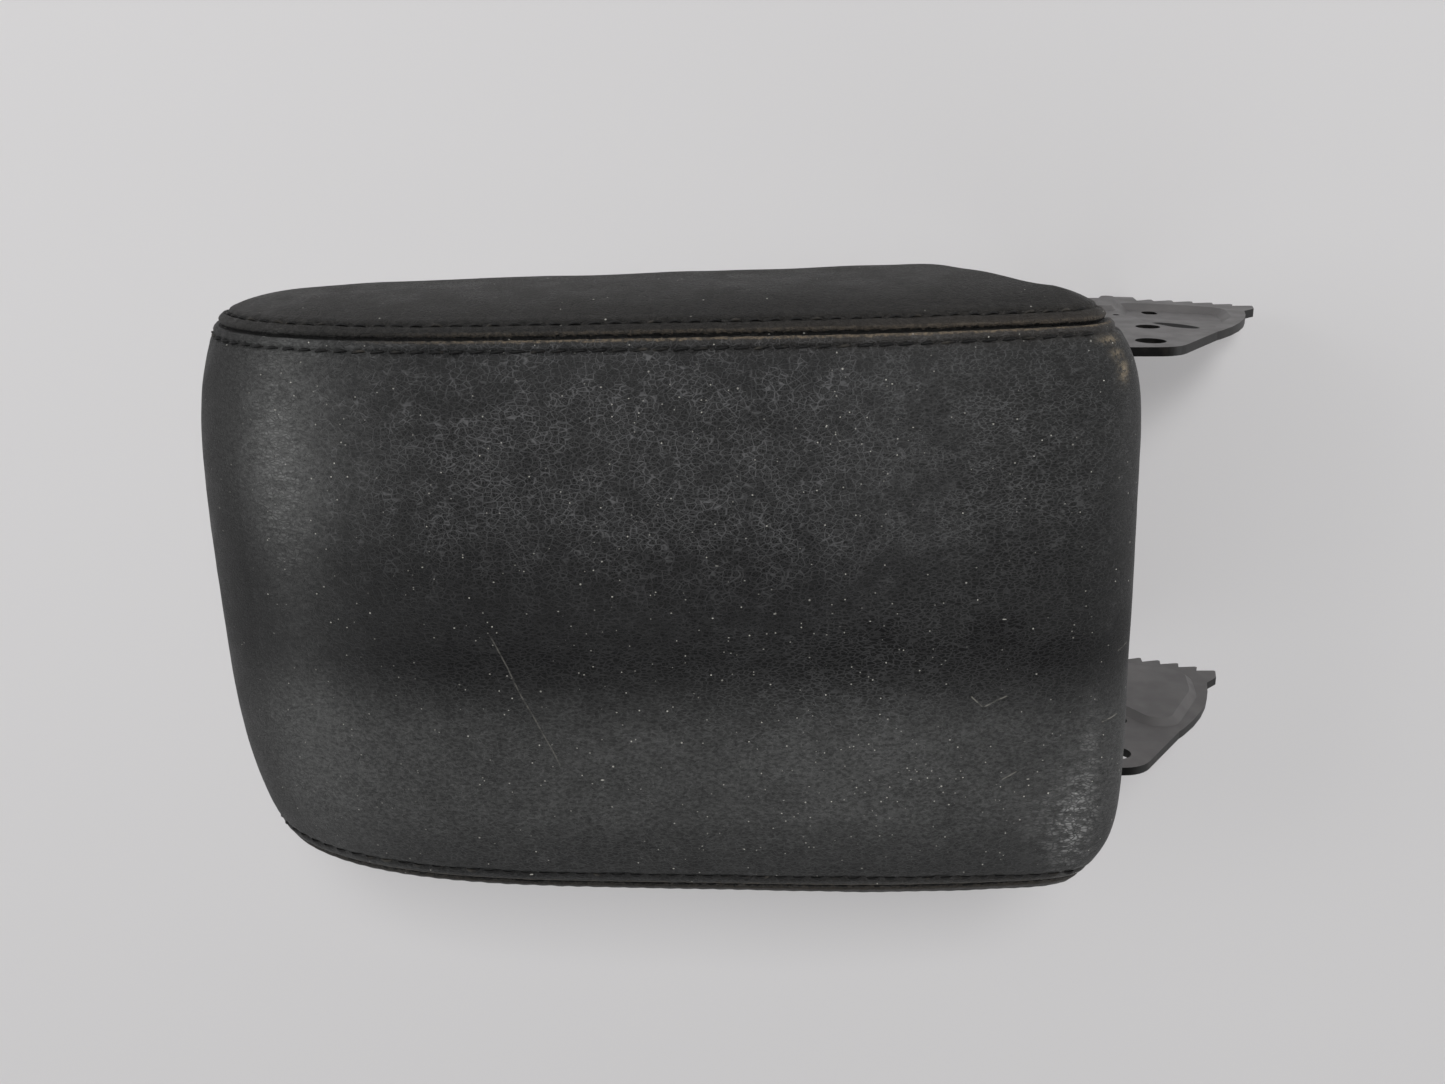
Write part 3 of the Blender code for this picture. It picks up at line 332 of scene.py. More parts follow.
@dataclass
class LeatherCover:
    """The sewn cover: centre panel, side panels, seams and the hem round the underside.

    The surface is the lid's form, moved along its normal by a relief. The relief is a function of the
    distance to the seam and of the place along it: a fold at the seam, a raised band over the seam
    allowance, a furrow under each row of stitches with a dip at every needle hole, and slow unevenness.
    """

    form: LidForm = field(default_factory=LidForm)
    seam: SeamSizes = field(default_factory=SeamSizes)
    row_spacing: float = 1.2 * MM
    hem_radius: float = 1.3 * MM
    hem_width: float = 4.0 * MM

    def columns(self, width: float) -> np.ndarray:
        """Distances from the seam, close together near it and wider apart further off."""
        near = np.concatenate((np.arange(0.0, 2.0, 0.28), np.arange(2.0, 9.0, 0.42))) * MM
        far = np.geomspace(1.0, 3.4, 26) - 1.0
        far = near[-1] + (width - near[-1]) * far / far[-1]
        return np.concatenate((near, far[1:]))

    def relief(self, distance: np.ndarray, along: np.ndarray, row: float, phase: float) -> np.ndarray:
        """Height of the leather over the plain form.

        Args:
            distance: distance to the nearest seam.
            along: place along the seam.
            row: distance of the row of stitches from the seam.
            phase: shift of the stitches along the seam.
        """
        s = self.seam
        fold = -s.fold_depth * np.clip(1.0 - distance / s.fold_width, 0.0, 1.0) ** 2.2
        band = smooth_step(0.6 * s.fold_width, 1.2 * s.fold_width, distance)
        band *= 1.0 - smooth_step(row - 0.8 * MM, row + 0.3 * MM, distance)
        furrow = np.exp(-(((distance - row) / (0.75 * MM)) ** 2))
        beyond = np.exp(-(((distance - row - 2.4 * MM) / (1.5 * MM)) ** 2))
        turn = 2.0 * math.pi * (along - phase) / s.pitch
        holes = np.exp(-((1.0 - np.cos(turn)) / 0.16))
        pucker = -np.cos(turn) * np.exp(-(((distance - row) / (3.0 * MM)) ** 2))
        height = fold + s.allowance_rise * band
        height = height - s.row_depth * furrow - s.hole_depth * holes * furrow
        return height + 0.14 * MM * beyond + s.pucker * pucker

    def build(self, finish: "LeatherFinish") -> tuple[bpy.types.Object, list[tuple[Track, float]]]:
        """Make the cover.

        Args:
            finish: the leather.

        Returns:
            The cover, and the track and phase of each row of stitches.
        """
        form = self.form
        rows = form.rows(self.row_spacing)
        half = self.columns(form.half_width)
        across = np.concatenate((half / half[-1] - 1.0, (1.0 - half / half[-1])[::-1][1:]))
        center = form.center(rows, across)
        seam_line = center[:, -1][:, [0, 2]]
        down = self.columns(0.052) / 0.052
        right = form.side(seam_line, down / down[-1])
        along = lengths_along(center[:, -1])
        middle = len(half) - 1
        from_left = lengths_along(center, axis=1)
        center_distance = np.where(np.arange(len(across)) <= middle, from_left, from_left[:, -1:] - from_left)
        side_distance = lengths_along(right, axis=1)
        center_index = np.arange(center.shape[0] * center.shape[1]).reshape(center.shape[:2])
        blocks = [form.slanted(center).reshape(-1, 3)]
        distances, places = [center_distance.ravel()], [np.repeat(along, len(across))]
        row_at = [np.full(center_index.size, self.seam.center_row)]
        shift = np.where(np.arange(len(across)) <= middle, Side.LEFT.center_shift, Side.RIGHT.center_shift)
        phases = [np.repeat(shift[None], len(along), 0).ravel()]
        side_index = {}
        for side in Side:
            grid = form.slanted(right * np.array((1.0, side.value, 1.0)))
            first = sum(len(block) for block in blocks)
            index = first + np.arange(grid.shape[0] * (grid.shape[1] - 1)).reshape(grid.shape[0], -1)
            edge = center_index[:, -1 if side is Side.RIGHT else 0]
            index = np.column_stack((edge, index))
            index[0], index[-1] = edge[0], edge[-1]
            side_index[side] = index
            blocks.append(grid[:, 1:].reshape(-1, 3))
            distances.append(side_distance[:, 1:].ravel())
            places.append(np.repeat(along, grid.shape[1] - 1))
            own = grid.shape[0] * (grid.shape[1] - 1)
            row_at.append(np.full(own, self.seam.side_row))
            phases.append(np.full(own, side.side_shift))
        points, distance = np.concatenate(blocks), np.concatenate(distances)
        place, row = np.concatenate(places), np.concatenate(row_at)
        phase = np.concatenate(phases) * self.seam.pitch
        faces = self.quads(center_index) + self.quads(side_index[Side.RIGHT])
        faces += self.quads(side_index[Side.LEFT][:, ::-1])
        normals = self.normals(points, faces)
        unsteady = Wander(3, 17.0 * MM)(points) * 0.35 + Wander(4, 7.0 * MM)(points) * 0.25
        pull = distance * (1.0 + 0.12 * unsteady)
        height = self.relief(pull, place, row, phase)
        height += 0.16 * MM * Wander(5, 46.0 * MM)(points) * smooth_step(2.0 * MM, 12.0 * MM, distance)
        height += 0.07 * MM * Wander(6, 15.0 * MM)(points) * smooth_step(2.0 * MM, 9.0 * MM, distance)
        points = points + normals * height[:, None]
        grids = Grids(center_index, side_index, along, center_distance, side_distance)
        tracks = self.tracks(points, normals, grids)
        points, faces, source = self.with_hem(points, faces, normals, grids)
        cover = self.mesh(points, faces, source, distance, finish)
        return cover, tracks

    def quads(self, index: np.ndarray) -> list[tuple]:
        """Faces of a grid of point numbers, where those that collapse are left out or made triangles."""
        faces = []
        block = np.stack((index[:-1, :-1], index[1:, :-1], index[1:, 1:], index[:-1, 1:]), axis=-1)
        for face in block.reshape(-1, 4).tolist():
            corners = [corner for k, corner in enumerate(face) if corner != face[k - 1]]
            if len(set(corners)) >= 3:
                faces.append(tuple(corners))
        return faces

    def normals(self, points: np.ndarray, faces: list[tuple]) -> np.ndarray:
        """Vertex normals of a skin of faces."""
        skin = bpy.data.meshes.new("skin")
        skin.from_pydata(points, [], faces)
        skin.update()
        found = np.empty(len(points) * 3, np.float32)
        skin.vertex_normals.foreach_get("vector", found)
        bpy.data.meshes.remove(skin)
        return found.reshape(-1, 3).astype(float)

    def loop(self, grids: Grids) -> np.ndarray:
        """Point numbers of the open lower edge, once round: front, right, rear, left."""
        right, left = grids.side[Side.RIGHT][1:-1, -1], grids.side[Side.LEFT][1:-1, -1]
        return np.concatenate((grids.center[0], right, grids.center[-1][::-1], left[::-1]))

    def tracks(self, points: np.ndarray, normals: np.ndarray, grids: Grids) -> list:
        """The lines that the four rows of stitches follow, with the shift of each row."""
        found = []
        middle = grids.center.shape[1] // 2
        for which in Side:
            half = slice(middle, None) if which is Side.RIGHT else slice(0, middle)
            order = -1 if which is Side.RIGHT else 1
            index = grids.center[:, half][:, ::order]
            distance = grids.center_distance[:, half][:, ::order]
            track = self.track(points, normals, index, distance, grids.along, self.seam.center_row)
            found.append((track, which.center_shift))
            index, distance = grids.side[which], grids.side_distance
            track = self.track(points, normals, index, distance, grids.along, self.seam.side_row)
            found.append((track, which.side_shift))
        return found

    def track(
        self,
        points: np.ndarray,
        normals: np.ndarray,
        index: np.ndarray,
        distance: np.ndarray,
        along: np.ndarray,
        at: float,
    ) -> Track:
        """The line at a fixed distance from the seam, over the rows of a grid that are wide enough for it.

        Args:
            points: the cover's points.
            normals: their normals.
            index: point numbers of the grid.
            distance: their distances to the seam.
            along: place of each row along the seam.
            at: the line's distance from the seam.
        """
        line, facing, kept = [], [], []
        for row in range(len(along)):
            if distance[row, -1] < at + 3.0 * MM:
                continue
            share = np.interp(at, distance[row], np.arange(distance.shape[1]))
            low = int(share)
            part = share - low
            first, second = index[row, low], index[row, min(low + 1, index.shape[1] - 1)]
            line.append(points[first] * (1.0 - part) + points[second] * part)
            facing.append(normals[first] * (1.0 - part) + normals[second] * part)
            kept.append(along[row])
        return Track(np.array(kept), np.array(line), np.array(facing))

    def with_hem(self, points: np.ndarray, faces: list, normals: np.ndarray, grids: Grids) -> tuple:
        """Turn the leather in under the lower edge and close the form behind the underside cover.

        Returns:
            All points, all faces, and for each point the number of the point that its wear is taken from.
        """
        loop = self.loop(grids)
        edge = points[loop]
        ahead = unit(np.roll(edge, -1, axis=0) - np.roll(edge, 1, axis=0))
        downward = np.tile((0.0, 0.0, -1.0), (len(loop), 1))
        downward = unit(downward - ahead * np.sum(downward * ahead, axis=1, keepdims=True))
        outward = normals[loop] - downward * np.sum(normals[loop] * downward, axis=1, keepdims=True)
        outward = unit(outward - ahead * np.sum(outward * ahead, axis=1, keepdims=True))
        rings = [loop]
        source = [np.arange(len(points))]
        radius = self.hem_radius
        turns = (0.4, 0.8, 1.2, math.pi / 2)
        stations = [(radius * math.sin(turn), radius * (1.0 - math.cos(turn))) for turn in turns]
        stations.append((radius, radius + self.hem_width))
        grown = [points]
        for drop, inward in stations:
            grown.append(edge + downward * drop - outward * inward)
            rings.append(sum(len(block) for block in grown[:-1]) + np.arange(len(loop)))
            source.append(loop)
        for outer, inner in zip(rings[:-1], rings[1:]):
            after_outer, after_inner = np.roll(outer, -1), np.roll(inner, -1)
            faces += np.column_stack((after_outer, outer, inner, after_inner)).tolist()
        last = rings[-1]
        columns, length = grids.center.shape[1], grids.side[Side.RIGHT].shape[0] - 2
        front, rear = last[:columns], last[columns + length : 2 * columns + length]
        right = last[columns : columns + length]
        left = last[2 * columns + length :][::-1]
        right = np.concatenate(([front[-1]], right, [rear[0]]))
        left = np.concatenate(([front[0]], left, [rear[-1]]))
        faces += np.column_stack((left[:-1], right[:-1], right[1:], left[1:])).tolist()[1:-1]
        faces.append([*front.tolist(), int(right[1]), int(left[1])])
        faces.append([*rear.tolist(), int(left[-2]), int(right[-2])])
        return np.concatenate(grown), faces, np.concatenate(source)

    def mesh(
        self,
        points: np.ndarray,
        faces: list,
        source: np.ndarray,
        distance: np.ndarray,
        finish: "LeatherFinish",
    ) -> bpy.types.Object:
        """The cover's object, with the masks that its finish reads.

        Args:
            points: its points, with those of the hem.
            faces: its faces.
            source: number of the point that each point's wear is taken from.
            distance: distance to the nearest seam, for the points before the hem.
            finish: the leather.
        """
        mesh = bpy.data.meshes.new("padded_cover")
        mesh.from_pydata(points, [], faces)
        for name, values in finish.masks(points, distance[source]).items():
            layer = mesh.attributes.new(name, "FLOAT", "POINT")
            layer.data.foreach_set("value", np.clip(values, 0.0, 1.0).astype(np.float32))
        mesh.shade_smooth()
        mesh.validate()
        shape = bmesh.new()
        shape.from_mesh(mesh)
        bmesh.ops.recalc_face_normals(shape, faces=shape.faces)
        shape.to_mesh(mesh)
        shape.free()
        cover = placed("padded_cover", mesh)
        mesh.materials.append(finish.material())
        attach(cover, "root")
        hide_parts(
            "cover_center_panel", "cover_side_panel_left", "cover_side_panel_right", "foam_pad"
        )
        log.info("padded_cover: %d points, %d faces", len(mesh.vertices), len(mesh.polygons))
        return cover


@dataclass(frozen=True)
class Stitching:
    """Thick thread sewn in rows: each stitch rises out of one needle hole and dips into the next.

    The row of the left side panel shapes the lid's outline in the picture, so its stitches rise less.
    """

    radius: float = 0.47 * MM
    gap: float = 0.8 * MM
    lift: float = 0.55 * MM
    outline_lift: float = 0.11 * MM
    outline_row: int = 1
    sink: float = 0.65 * MM
    slant: float = 0.75 * MM
    sides: int = 8
    steps: int = 8

    def stitch(self, track: Track, start: float, pitch: float, lean: float, lift: float) -> tuple:
        """Points and faces of one stitch, a bent tube with tapered ends.

        Args:
            track: the line that the row follows.
            start: where the stitch starts along it.
            pitch: length of a stitch with its gap.
            lean: how far it lies across the row, 1 for the whole slant.
            lift: how far its middle rises over the leather.
        """
        t = np.linspace(0.0, 1.0, self.steps + 1)
        point, normal, direction = track.at(start + self.gap / 2.0 + (pitch - self.gap) * t)
        across = np.cross(normal, direction)
        arch = np.sin(math.pi * t) ** 0.6
        line = point + normal * (-self.sink + (self.sink + lift) * arch)[:, None]
        line = line + across * (self.slant * lean * (t - 0.5))[:, None]
        thickness = self.radius * (0.45 + 0.55 * np.sin(math.pi * t) ** 0.5)
        angle = np.linspace(0.0, 2.0 * math.pi, self.sides, endpoint=False)
        ring = np.cos(angle)[None, :, None] * across[:, None] + np.sin(angle)[None, :, None] * normal[:, None]
        points = (line[:, None] + ring * thickness[:, None, None]).reshape(-1, 3)
        faces = []
        for step in range(self.steps):
            for k in range(self.sides):
                a, b = step * self.sides + k, step * self.sides + (k + 1) % self.sides
                faces.append((a, b, b + self.sides, a + self.sides))
        faces.append(tuple(range(self.sides))[::-1])
        faces.append(tuple(range(self.steps * self.sides, (self.steps + 1) * self.sides)))
        return points, faces

    def build(self, tracks: list, pitch: float, material: bpy.types.Material) -> bpy.types.Object:
        """All the stitches of the cover as one piece."""
        draw = np.random.default_rng(11)
        blocks, faces, count = [], [], 0
        for row, (track, shift) in enumerate(tracks):
            first = math.ceil(track.along[0] / pitch) + 1
            last = math.floor(track.along[-1] / pitch) - 2
            lift = self.outline_lift if row == self.outline_row else self.lift
            for number in range(first, last):
                start = (number + shift) * pitch + draw.normal(0.0, 0.1 * MM)
                lean = (1.0 if row % 2 else 0.8) + draw.normal(0.0, 0.18)
                points, own = self.stitch(track, start, pitch, lean, lift)
                faces += [tuple(corner + count for corner in face) for face in own]
                blocks.append(points)
                count += len(points)
        mesh = bpy.data.meshes.new("stitching")
        mesh.from_pydata(np.concatenate(blocks), [], faces)
        mesh.shade_smooth()
        mesh.materials.append(material)
        thread = placed("stitching", mesh)
        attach(thread, "root")
        log.info("stitching: %d stitches", len(blocks))
        return thread


class Tree:
    """Short ways to add shader nodes to a node tree."""

    def __init__(self, tree: bpy.types.NodeTree) -> None:
        """Take the tree that the nodes go into."""
        self.tree = tree

    def add(self, kind: str, inputs: Optional[dict] = None, **settings) -> bpy.types.Node:
        """A node with its settings, whose inputs are fed from sockets or set to numbers or colours."""
        node = self.tree.nodes.new(kind)
        for name, value in settings.items():
            setattr(node, name, value)
        for socket, value in (inputs or {}).items():
            self.link(value, node.inputs[socket])
        return node

    def link(self, value: Value, socket: bpy.types.NodeSocket) -> None:
        """Feed a socket from another socket, or set it to a number or colour."""
        if isinstance(value, bpy.types.NodeSocket):
            self.tree.links.new(value, socket)
        else:
            socket.default_value = value

    def math(self, operation: str, first: Value, second: Value = 0.0, clamp: bool = False) -> Value:
        """A sum, difference or other operation on numbers."""
        inputs = {0: first, 1: second}
        return self.add("ShaderNodeMath", inputs, operation=operation, use_clamp=clamp).outputs[0]

    def times(self, first: Value, second: Value, clamp: bool = False) -> Value:
        """A product of two numbers."""
        return self.math("MULTIPLY", first, second, clamp)

    def ramp(self, value: Value, low: float, high: float, start: float = 0.0, end: float = 1.0) -> Value:
        """Smooth change from start to end as the value goes from low to high."""
        inputs = {"Value": value, "From Min": low, "From Max": high, "To Min": start, "To Max": end}
        return self.add("ShaderNodeMapRange", inputs, interpolation_type="SMOOTHSTEP").outputs["Result"]

    def mix(self, share: Value, first: Value, second: Value) -> Value:
        """A mix of two colours."""
        return self.add("ShaderNodeMix", {0: share, 6: first, 7: second}, data_type="RGBA").outputs[2]

    def blend(self, share: Value, first: Value, second: Value) -> Value:
        """A mix of two numbers."""
        return self.add("ShaderNodeMix", {0: share, 2: first, 3: second}, data_type="FLOAT").outputs[0]


class Nodes(Tree):
    """A material's nodes, which read the object's coordinates."""

    def __init__(self, name: str) -> None:
        """Start a material with a Principled shader."""
        self.material = bpy.data.materials.new(name)
        self.material.use_nodes = True
        super().__init__(self.material.node_tree)
        self.shader = self.tree.nodes["Principled BSDF"]
        self.place = self.add("ShaderNodeTexCoord").outputs["Object"]
        self.wavy = self.warped(1.2 * MM, 90.0)

    def stretched(self, scale: tuple, turn: float = 0.0) -> Value:
        """Object coordinates scaled along each axis and turned round Z, in degrees."""
        inputs = {"Vector": self.place, "Scale": scale, "Rotation": (0.0, 0.0, math.radians(turn))}
        return self.add("ShaderNodeMapping", inputs).outputs[0]

    def noise(self, scale: float, detail: float = 2.0, roughness: float = 0.5, place=None) -> Value:
        """A noise value, with scale in features per metre."""
        inputs = {"Vector": place or self.place, "Scale": scale, "Detail": detail, "Roughness": roughness}
        return self.add("ShaderNodeTexNoise", inputs).outputs["Fac"]

    def warped(self, amount: float, scale: float, place: Optional[Value] = None) -> Value:
        """Object coordinates pushed about by noise, in metres."""
        source = place or self.place
        noise = self.add("ShaderNodeTexNoise", {"Vector": source, "Scale": scale}).outputs["Color"]
        offset = self.add("ShaderNodeVectorMath", {0: noise, 1: (0.5,) * 3}, operation="SUBTRACT").outputs[0]
        inputs = {0: offset, 1: (amount,) * 3, 2: source}
        return self.add("ShaderNodeVectorMath", inputs, operation="MULTIPLY_ADD").outputs[0]

    def cells(self, scale: float, feature: str, place=None, output: str = "Distance") -> Value:
        """A value of a cell pattern: distance to the cell's edge or middle, or its colour."""
        inputs = {"Vector": place or self.place, "Scale": scale}
        return self.add("ShaderNodeTexVoronoi", inputs, feature=feature).outputs[output]

    def segment(self, first: tuple, last: tuple, width: float) -> Value:
        """1 on a thin line between two places in plan, falling to 0 at its width and at its ends."""
        run = (last[0] - first[0], last[1] - first[1])
        length = math.hypot(*run)
        along, across = (run[0] / length, run[1] / length), (-run[1] / length, run[0] / length)
        values = []
        for axis in (along, across):
            dot = self.add("ShaderNodeVectorMath", {0: self.wavy, 1: (*axis, 0.0)}, operation="DOT_PRODUCT")
            offset = first[0] * axis[0] + first[1] * axis[1]
            values.append(self.math("SUBTRACT", dot.outputs["Value"], offset))
        side = self.ramp(self.math("ABSOLUTE", values[1]), width, width * 0.3)
        middle = self.math("ABSOLUTE", self.math("SUBTRACT", values[0], length / 2.0))
        return self.times(side, self.ramp(middle, length / 2.0, length * 0.38))

    def mask(self, name: str) -> Value:
        """A mask stored on the mesh."""
        return self.add("ShaderNodeAttribute", attribute_name=name).outputs["Fac"]

    def bump(self, height: Value, distance: float, strength: float = 1.0, below=None) -> Value:
        """Bump from a height between 0 and 1 that stands for a distance in metres."""
        inputs = {"Strength": strength, "Distance": distance, "Height": height}
        if below is not None:
            inputs["Normal"] = below
        return self.add("ShaderNodeBump", inputs).outputs[0]

    def surface(self, color: Value, roughness: Value, normal=None, **plain) -> bpy.types.Material:
        """Connect the shader, and set its other sockets to plain values."""
        self.link(color, self.shader.inputs["Base Color"])
        self.link(roughness, self.shader.inputs["Roughness"])
        if normal is not None:
            self.link(normal, self.shader.inputs["Normal"])
        for name, value in plain.items():
            socket = name.replace("_", " ").title().replace("Ior", "IOR")
            self.shader.inputs[socket].default_value = value
        return self.material


@dataclass(frozen=True)
class Scratch:
    """A thin scratch between two places in plan, with its half width and its strength."""

    first: tuple
    last: tuple
    width: float
    share: float


@dataclass(frozen=True)
class Specks:
    """Dust specks: places per metre, size as a share of their spacing, and the draw above which one shows."""

    scale: float
    size: float
    chance: float
    stretch: Optional[tuple] = None
    turn: float = 0.0


@dataclass(frozen=True)
class LeatherFinish:
    """Worn black leatherette: crackled grain, rubbed patches, a pale veil of dust, dust specks and brown dirt
    in the seams, with painted sheen, painted reflection and painted shade in its colour.
    """

    deep: tuple = (0.0020, 0.0020, 0.0023, 1.0)
    worn: tuple = (0.0060, 0.0060, 0.0061, 1.0)
    vein: tuple = (0.170, 0.170, 0.173, 1.0)
    # Colour of the pale veil: dust, and painted reflection and sheen.
    dust_and_sheen: tuple = (0.062, 0.0625, 0.061, 1.0)
    side_haze: tuple = (0.066, 0.062, 0.056, 1.0)
    # Colour of the pale grain tops: rubbed wear, and painted sheen.
    rub_and_sheen: tuple = (0.250, 0.250, 0.246, 1.0)
    speck: tuple = (0.46, 0.45, 0.41, 1.0)
    soil: tuple = (0.165, 0.132, 0.094, 1.0)
    tan: tuple = (0.24, 0.195, 0.135, 1.0)
    grime: tuple = (0.062, 0.050, 0.040, 1.0)
    # Painted shade in the bottom of the seam folds.
    seam_shade: tuple = (0.0012, 0.0011, 0.0010, 1.0)
    scratched: tuple = (0.26, 0.25, 0.22, 1.0)
    grain_size: float = 1.9 * MM
    apart_reach: float = 6.0 * MM
    top_z: float = 0.05
    vein_share: float = 0.46
    grime_share: float = 0.30
    soil_share: float = 0.8
    tan_share: float = 0.85
    dust_pull: float = 0.17
    crackled_at: tuple = (
        Patch(0.95, (-0.165, 0.052), (0.100, 0.046)),
        Patch(0.50, (-0.080, 0.050), (0.050, 0.050)),
        Patch(0.45, (-0.110, -0.020), (0.040, 0.022)),
    )
    # Patches of the veil: dust at the lower right, painted reflection low on the free end, painted sheen high
    # on it.
    dust_and_sheen_at: tuple = (
        Patch(0.25, (-0.098, -0.048), (0.034, 0.022)),
        Patch(0.35, (-0.275, -0.040), (0.018, 0.040)),
        Patch(0.55, (-0.278, 0.046), (0.013, 0.038)),
    )
    # The first patch is a painted sheen on the free end; the others are rubbed wear at the lower right.
    rub_and_sheen_at: tuple = (
        Patch(0.42, (-0.2790, 0.049), (0.0085, 0.030)),
        Patch(0.90, (-0.0300, -0.070), (0.0062, 0.016)),
        Patch(0.30, (-0.0270, -0.044), (0.0042, 0.018)),
        Patch(0.25, (-0.0410, -0.066), (0.0100, 0.014)),
    )
    tan_at: tuple = (
        Patch(1.0, (-0.0240, 0.0785, 0.0595), (0.0016, 0.0028, 0.003)),
        Patch(0.8, (-0.0263, 0.0835, 0.0592), (0.0020, 0.0012, 0.003)),
        Patch(0.8, (-0.0290, 0.0875, 0.0575), (0.0035, 0.0010, 0.004)),
    )
    dusty_at: tuple = (
        Patch(0.30, (-0.170, -0.010), (0.070, 0.035)),
        Patch(0.85, (-0.105, 0.060), (0.032, 0.008)),
        Patch(0.60, (-0.165, 0.068), (0.022, 0.007)),
        Patch(0.40, (-0.100, -0.055), (0.050, 0.026)),
    )
    scratches: tuple = (
        Scratch((-0.2160, -0.0005), (-0.1940, -0.0475), 0.34 * MM, 0.30),
        Scratch((-0.0665, -0.0225), (-0.0625, -0.0265), 0.32 * MM, 0.50),
        Scratch((-0.0625, -0.0265), (-0.0545, -0.0225), 0.32 * MM, 0.50),
        Scratch((-0.0550, -0.0520), (-0.0500, -0.0490), 0.34 * MM, 0.45),
        Scratch((-0.0235, -0.0340), (-0.0175, -0.0325), 0.30 * MM, 0.60),
        Scratch((-0.0195, -0.0108), (-0.0155, -0.0090), 0.30 * MM, 0.50),
    )
    specks: tuple = (
        Specks(230.0, 0.095, 0.955),
        Specks(420.0, 0.155, 0.980, (1.0, 1.5, 1.0), 35.0),
        Specks(150.0, 0.060, 0.95, (0.55, 1.4, 1.0), -25.0),
        Specks(760.0, 0.220, 0.990),
    )

    def dust_and_sheen_mask(self, points: np.ndarray, inner: np.ndarray) -> np.ndarray:
        """A pale veil, partly dust and partly painted reflection and sheen: a pale band over the lower half
        of the top (painted reflection), a thin veil over the upper half (painted sheen), a band along the
        free end (painted sheen), and patches.

        Args:
            points: the cover's points.
            inner: whether each point lies between the seams.
        """
        x, y, z = points.T
        # low is a painted reflection on the lower half; high and the band along the free end are painted
        # sheen; the last term lightens the upper half towards the hinge end.
        low = smooth_step(-0.010, -0.040, y) * (1.0 - 0.62 * smooth_step(-0.058, -0.086, y))
        high = smooth_step(0.012, 0.052, y)
        dust_and_sheen = 0.58 * low + 0.12 * high + 0.40 * smooth_step(-0.228, -0.274, x) * (0.15 + 0.85 * high)
        dust_and_sheen = dust_and_sheen + patched(points, self.dust_and_sheen_at) + 0.12 * smooth_step(-0.13, -0.07, x) * (y > 0.0)
        return np.where(inner, 0.10 + (dust_and_sheen - 0.10) * smooth_step(0.030, 0.063, z), 0.17)

    def masks(self, points: np.ndarray, distance: np.ndarray) -> dict[str, np.ndarray]:
        """Where each kind of wear and of painted light lies, from 0 to 1 at each point.

        Args:
            points: the cover's points.
            distance: distance of each point to the nearest seam.
        """
        x, y, z = points.T
        seam_y = LidForm().seam_half_width(x)
        inner = np.abs(y) < seam_y
        upper = y > 0.0
        panel = (z > self.top_z) & inner
        dirt = np.where(upper, smooth_step(-0.262, -0.20, x), 0.35) * np.where(panel, 1.0, 0.25)
        grime = np.exp(-((distance / (4.5 * MM)) ** 2)) * smooth_step(-0.22, -0.04, x)
        crackle = patched(points, self.crackled_at) + 0.28
        # Painted shade: the grain lines are dimmed in a band across the middle of the top, where a darker
        # reflection falls.
        dark_reflection_dim = 1.0 - 0.42 * smooth_step(0.042, 0.012, y) * smooth_step(-0.034, -0.010, y)
        stretch = smooth_step(-0.13, -0.05, x) + smooth_step(0.025, -0.02, y)
        return {
            "dirt": dirt,
            "grime": grime * np.where(upper, 1.0, 0.5),
            "crackle": crackle * dark_reflection_dim * panel,
            "dust_and_sheen": self.dust_and_sheen_mask(points, inner),
            "rub_and_sheen": patched(points, self.rub_and_sheen_at),
            "tan": patched(points, self.tan_at),
            "stretch": stretch + smooth_step(-0.262, -0.275, x),
            "dust": (0.16 + patched(points, self.dusty_at)) * panel,
            "side": np.where(np.abs(y) > seam_y - 0.3 * MM, 1.0, 0.0) * (distance > 0.0),
            "apart": distance / self.apart_reach,
        }

    def grain(self, n: Nodes) -> tuple[Value, Value]:
        """Lines of the crackled grain from 0 to 1, and the distance to the lines of its drawn-out cells."""
        round_place = n.warped(1.0 * MM, 380.0, n.stretched((0.80, 1.20, 1.0), 3.0))
        round_cells = n.cells(1.0 / self.grain_size, "DISTANCE_TO_EDGE", round_place)
        small_cells = n.cells(2.1 / self.grain_size, "DISTANCE_TO_EDGE", n.warped(0.6 * MM, 900.0))
        long_place = n.warped(1.5 * MM, 430.0, n.stretched((0.62, 1.35, 1.0), 4.0))
        long_cells = n.cells(1.45 / self.grain_size, "DISTANCE_TO_EDGE", long_place)
        ridges = n.noise(1.0, 3.0, 0.6, n.stretched((300.0, 470.0, 400.0), -8.0))
        wrinkle = n.ramp(n.math("ABSOLUTE", n.math("SUBTRACT", ridges, 0.5)), 0.015, 0.0)
        small_veins = n.times(n.ramp(small_cells, 0.16, 0.0), 0.40)
        veins = n.math("MAXIMUM", n.ramp(round_cells, 0.105, 0.0), small_veins)
        long_veins = n.times(n.ramp(long_cells, 0.14, 0.0), 0.7)
        veins = n.blend(n.mask("stretch"), veins, long_veins)
        return n.math("MAXIMUM", veins, n.times(wrinkle, 0.75)), long_cells

    def ground(self, n: Nodes, blotch: Value) -> Value:
        """The bare leather's colour under its pale veil of dust, painted reflection and painted sheen."""
        color = n.mix(n.ramp(n.noise(15.0, 3.0, 0.55), 0.34, 0.70, 0.05, 0.80), self.deep, self.worn)
        mottle = n.noise(1.0, 3.0, 0.65, n.stretched((620.0, 950.0, 800.0)))
        # The pale veil: dust, and painted reflection and sheen.
        dust_and_sheen = n.times(n.mask("dust_and_sheen"), n.ramp(blotch, 0.34, 0.66, 0.84, 1.12))
        dust_and_sheen = n.times(dust_and_sheen, n.ramp(mottle, 0.36, 0.64, 0.60, 1.40), clamp=True)
        return n.mix(dust_and_sheen, color, n.mix(n.mask("side"), self.dust_and_sheen, self.side_haze))

